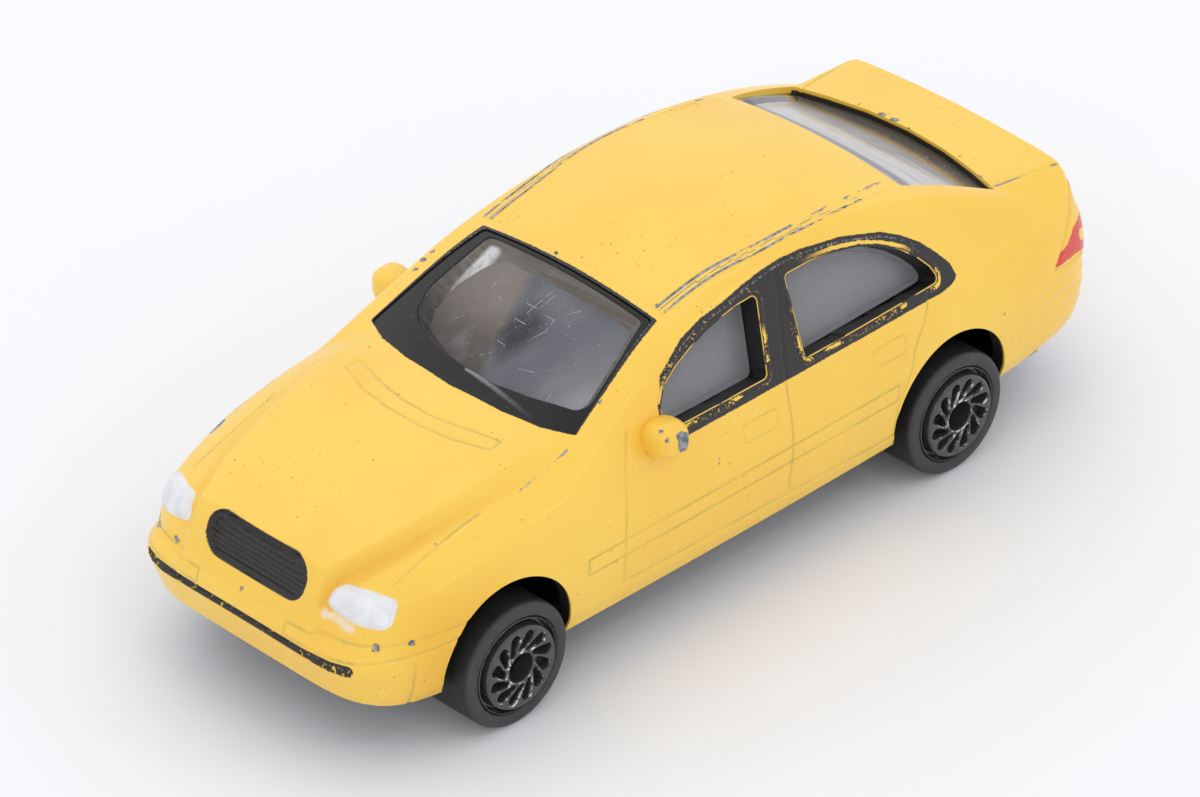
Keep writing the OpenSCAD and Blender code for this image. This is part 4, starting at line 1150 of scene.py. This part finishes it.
class TOYCAR_OT_shell(bpy.types.Operator):
    """Make the painted shell: one fine surface of the whole body, parted into slices along the car"""
    bl_idname = "toy_car.shell"
    bl_label = "Painted Shell"

    def execute(self, context):
        sizes = context.scene.toy_car_shell
        cell = sizes.cell / MM * 1
        outer, inner, fields, place, index = shell_sheet(cell, sizes.wall / MM)
        finish = paint_finish(context.scene.toy_car_paint)
        last = index.shape[1] - 1
        for name, low, high in zip(SLICES, SLICE_ENDS[:-1], SLICE_ENDS[1:]):
            faces = shell_triangles(index, place, round(low * last), round(high * last))
            points, faces, values = thickened(faces, outer, inner, fields)
            made_piece("shell_" + name, points, faces, finish, "car", ["body_shell"], values,
                       sharp=62, turned=False)
        return {"FINISHED"}


class TOYCAR_OT_mirrors(bpy.types.Operator):
    """Make the two door mirrors of the casting"""
    bl_idname = "toy_car.mirrors"
    bl_label = "Door Mirrors"

    def execute(self, context):
        finish = bpy.data.materials["worn_yellow_enamel"]
        for name, side in (("left", 1), ("right", -1)):
            points, faces = stacked_rings(mirror_pod(side))
            absent = ("dark", "slot", "lamp", "red", "clear", "lamp_highlight", "reveal", "seam", "gutter", "wear")
            fields = dict.fromkeys(absent, np.full(len(points), FAR))
            fields["inside"] = fields["hollow_shade"] = np.zeros(len(points))
            fields["chip"] = chip_distance(points, MIRROR_CHIPS)
            made_piece("mirror_" + name, points, faces, finish, "car", ["body_shell"], fields)
        return {"FINISHED"}


class TOYCAR_OT_windows(bpy.types.Operator):
    """Make the windscreen, the rear window and the four side panes"""
    bl_idname = "toy_car.windows"
    bl_label = "Windows"

    def execute(self, context):
        sizes = context.scene.toy_car_shell
        finish = pane_finish(context.scene.toy_car_glass)
        count, gap = 360, CORNER_R - 0.06
        pane, screen = sizes.pane_depth / MM, sizes.screen_depth / MM

        def edge(corners):
            return grown(rounded_outline(corners, count, 0.3), gap)

        inner, foot = (rounded_outline(corners, count, 0.7) for corners in (SCREEN_TOP, SCREEN_FOOT))
        # The second value of each window is its share of the painted reflection streaks.
        made = [("windscreen", 0.0, *screen_rings(edge(SCREEN), inner, foot, screen, on_top))]
        outer = edge(BACK_WINDOW)
        rings, border = screen_rings(outer, grown(outer, -0.4), grown(outer, -1.0), 0.9, on_back)
        # The rear window's bevel takes a little of the border's black: painted shade on its slope.
        border = np.where(border > 0, -0.5, np.where(border > -0.95, -0.004, -1.0))
        made.append(("rear_window", 1.0, rings, border))
        for name, corners in (("front_pane", FRONT_DOOR_WINDOW), ("rear_pane", REAR_DOOR_WINDOW)):
            outer = edge(corners)
            rings, border = screen_rings(outer, grown(outer, -0.3), grown(outer, -0.35), pane,
                                         lambda line, depth: on_left_side(line, pane + 0.1 * depth))
            made.append(("left_" + name, 0.08, rings, border * 0 - 1))
            made.append(("right_" + name, 0.08, rings * (1, -1, 1), border * 0 - 1))
        for name, pale, rings, border in made:
            points, faces = stacked_rings(rings)
            made_piece(name, points, faces, finish, "car", ["window_moulding"],
                       {"border": border, "pale": border * 0 + pale}, sharp=40)
        return {"FINISHED"}


class TOYCAR_OT_wheels(bpy.types.Operator):
    """Make the four tyres and the four slotted hubs"""
    bl_idname = "toy_car.wheels"
    bl_label = "Wheels"

    def execute(self, context):
        wheels = context.scene.toy_car_wheels
        rubber, gloss = rubber_finish(wheels), hub_finish(wheels)
        tyre, tyre_faces = stacked_rings(tyre_rings(240), wrap=True)
        hub, lips = hub_rings(456, wheels.slots, wheels.swirl)
        hub, hub_faces = stacked_rings(hub)
        radius, lips = np.hypot(tyre[:, 0], tyre[:, 2]), np.concatenate([lips.ravel(), [0, 0]])
        shapes = (("tyre", tyre, tyre_faces, rubber, "tyre_rubber", {"radius": radius}),
                  ("hub", hub, hub_faces, gloss, "hub_plastic", {"lips": lips}))
        for end, axle in (("front", FRONT_AXLE), ("rear", REAR_AXLE)):
            for side, turn in (("left", 1), ("right", -1)):
                for kind, points, faces, finish, slot, fields in shapes:
                    node = "_".join((end, side, kind))
                    placed = (points + (0, OUTER_FACE, 0)) * (turn, turn, 1) + (axle[0], 0, AXLE_Z)
                    made_piece(node + "_skin", placed, faces, finish, end + "_wheels", [node], fields,
                               sharp=35)
        return {"FINISHED"}


class TOYCAR_OT_inside(bpy.types.Operator):
    """Finish the packed pieces that stay: seat tub, base plate and axles"""
    bl_idname = "toy_car.inside"
    bl_label = "Tub, Base and Axles"

    def execute(self, context):
        tub = moulding_finish("matt_black_tub", (0.016,) * 3, (0.03,) * 3, 0.6)
        base = moulding_finish("satin_black_base", (0.02, 0.02, 0.021), (0.045, 0.045, 0.046), 0.42)
        wire = wire_finish((0.56, 0.56, 0.57))
        finishes = {"seat_tub": tub, "base_plate": base, "front_axle": wire, "rear_axle": wire}
        for node, finish in finishes.items():
            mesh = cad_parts[node].data
            mesh.materials.clear()
            mesh.materials.append(finish)
        return {"FINISHED"}


class TOYCAR_OT_stage(bpy.types.Operator):
    """Set up the floor, the even light, the softbox and the camera"""
    bl_idname = "toy_car.stage"
    bl_label = "Stage"

    def execute(self, context):
        stage = context.scene.toy_car_stage
        material, shader, place = opened_finish("pale_floor")
        tone = place.noise(0.02, 2).blend(stage.floor, [c * 0.985 for c in stage.floor])
        joined(shader, Base_Color=tone, Roughness=0.6)
        n = FLOOR_CELLS + 1
        a, b = np.meshgrid(*[np.linspace(-FLOOR_HALF, FLOOR_HALF, n)] * 2)
        index = np.arange(n * n).reshape(n, n)
        quads = np.stack([index[:-1, :-1], index[:-1, 1:], index[1:, 1:], index[1:, :-1]], -1).reshape(-1, 4)
        mesh = bpy.data.meshes.new("floor")
        mesh.from_pydata(np.stack([a, b, 0 * a], -1).reshape(-1, 3).tolist(), [], quads.tolist())
        mesh.materials.append(material)
        floor = bpy.data.objects.new("floor", mesh)
        context.scene.collection.objects.link(floor)

        world = context.scene.world or bpy.data.worlds.new("studio")
        context.scene.world = world
        world.use_nodes = True
        sky = world.node_tree.nodes["Background"].inputs
        sky["Color"].default_value = SKY_TINT
        sky["Strength"].default_value = stage.sky

        lamps = [(stage.key, SOFTBOX)] + [(stage.fill, small) for small in SMALL_LAMPS]
        for power, (name, size, spot) in lamps:
            light = bpy.data.lights.new(name, "AREA")
            light.shape = "RECTANGLE"
            light.size, light.size_y = size, size
            light.energy = power
            lamp = bpy.data.objects.new(name, light)
            turn = Vector(spot).to_track_quat("Z", "Y").to_matrix().to_4x4()
            lamp.matrix_world = Matrix.Translation(spot) @ turn
            context.scene.collection.objects.link(lamp)

        camera = bpy.data.cameras.new("camera")
        camera.sensor_fit, camera.sensor_width, camera.lens = "HORIZONTAL", SENSOR_WIDTH, stage.lens
        camera.clip_start, camera.clip_end = 0.01, 20
        eye = bpy.data.objects.new("camera", camera)
        eye.matrix_world = Matrix.Translation(CAMERA_PLACE) @ Matrix(CAMERA_AXES).transposed().to_4x4()
        context.scene.collection.objects.link(eye)
        context.scene.camera = eye
        context.scene.view_settings.view_transform = "Standard"
        return {"FINISHED"}


class TOYCAR_PT_panel(bpy.types.Panel):
    """Sizes, colours and steps of the toy car"""
    bl_idname = "TOYCAR_PT_panel"
    bl_label = "Toy Saloon Car"
    bl_space_type = "VIEW_3D"
    bl_region_type = "UI"
    bl_category = "Toy Car"

    def draw(self, context):
        for name, group in SETTINGS.items():
            box = self.layout.box()
            box.label(text=group.__doc__)
            for prop in group.__annotations__:
                box.prop(getattr(context.scene, name), prop)
        for step in STEPS:
            self.layout.operator(step.bl_idname)


SETTINGS = {"toy_car_shell": ToyCarShell, "toy_car_paint": ToyCarPaint, "toy_car_glass": ToyCarGlass,
            "toy_car_wheels": ToyCarWheels, "toy_car_stage": ToyCarStage}
STEPS = (TOYCAR_OT_stage, TOYCAR_OT_shell, TOYCAR_OT_mirrors, TOYCAR_OT_windows, TOYCAR_OT_wheels,
         TOYCAR_OT_inside)


def register():
    for group in (*SETTINGS.values(), *STEPS, TOYCAR_PT_panel):
        bpy.utils.register_class(group)
    for name, group in SETTINGS.items():
        setattr(bpy.types.Scene, name, bpy.props.PointerProperty(type=group))


def unregister():
    for name in SETTINGS:
        delattr(bpy.types.Scene, name)
    for group in (TOYCAR_PT_panel, *reversed(STEPS), *reversed(SETTINGS.values())):
        bpy.utils.unregister_class(group)


def main():
    """Registers the classes and makes every piece in order."""
    register()
    bpy.ops.toy_car.stage()
    bpy.ops.toy_car.shell()
    bpy.ops.toy_car.mirrors()
    bpy.ops.toy_car.windows()
    bpy.ops.toy_car.wheels()
    bpy.ops.toy_car.inside()


if __name__ == "__main__":
    main()
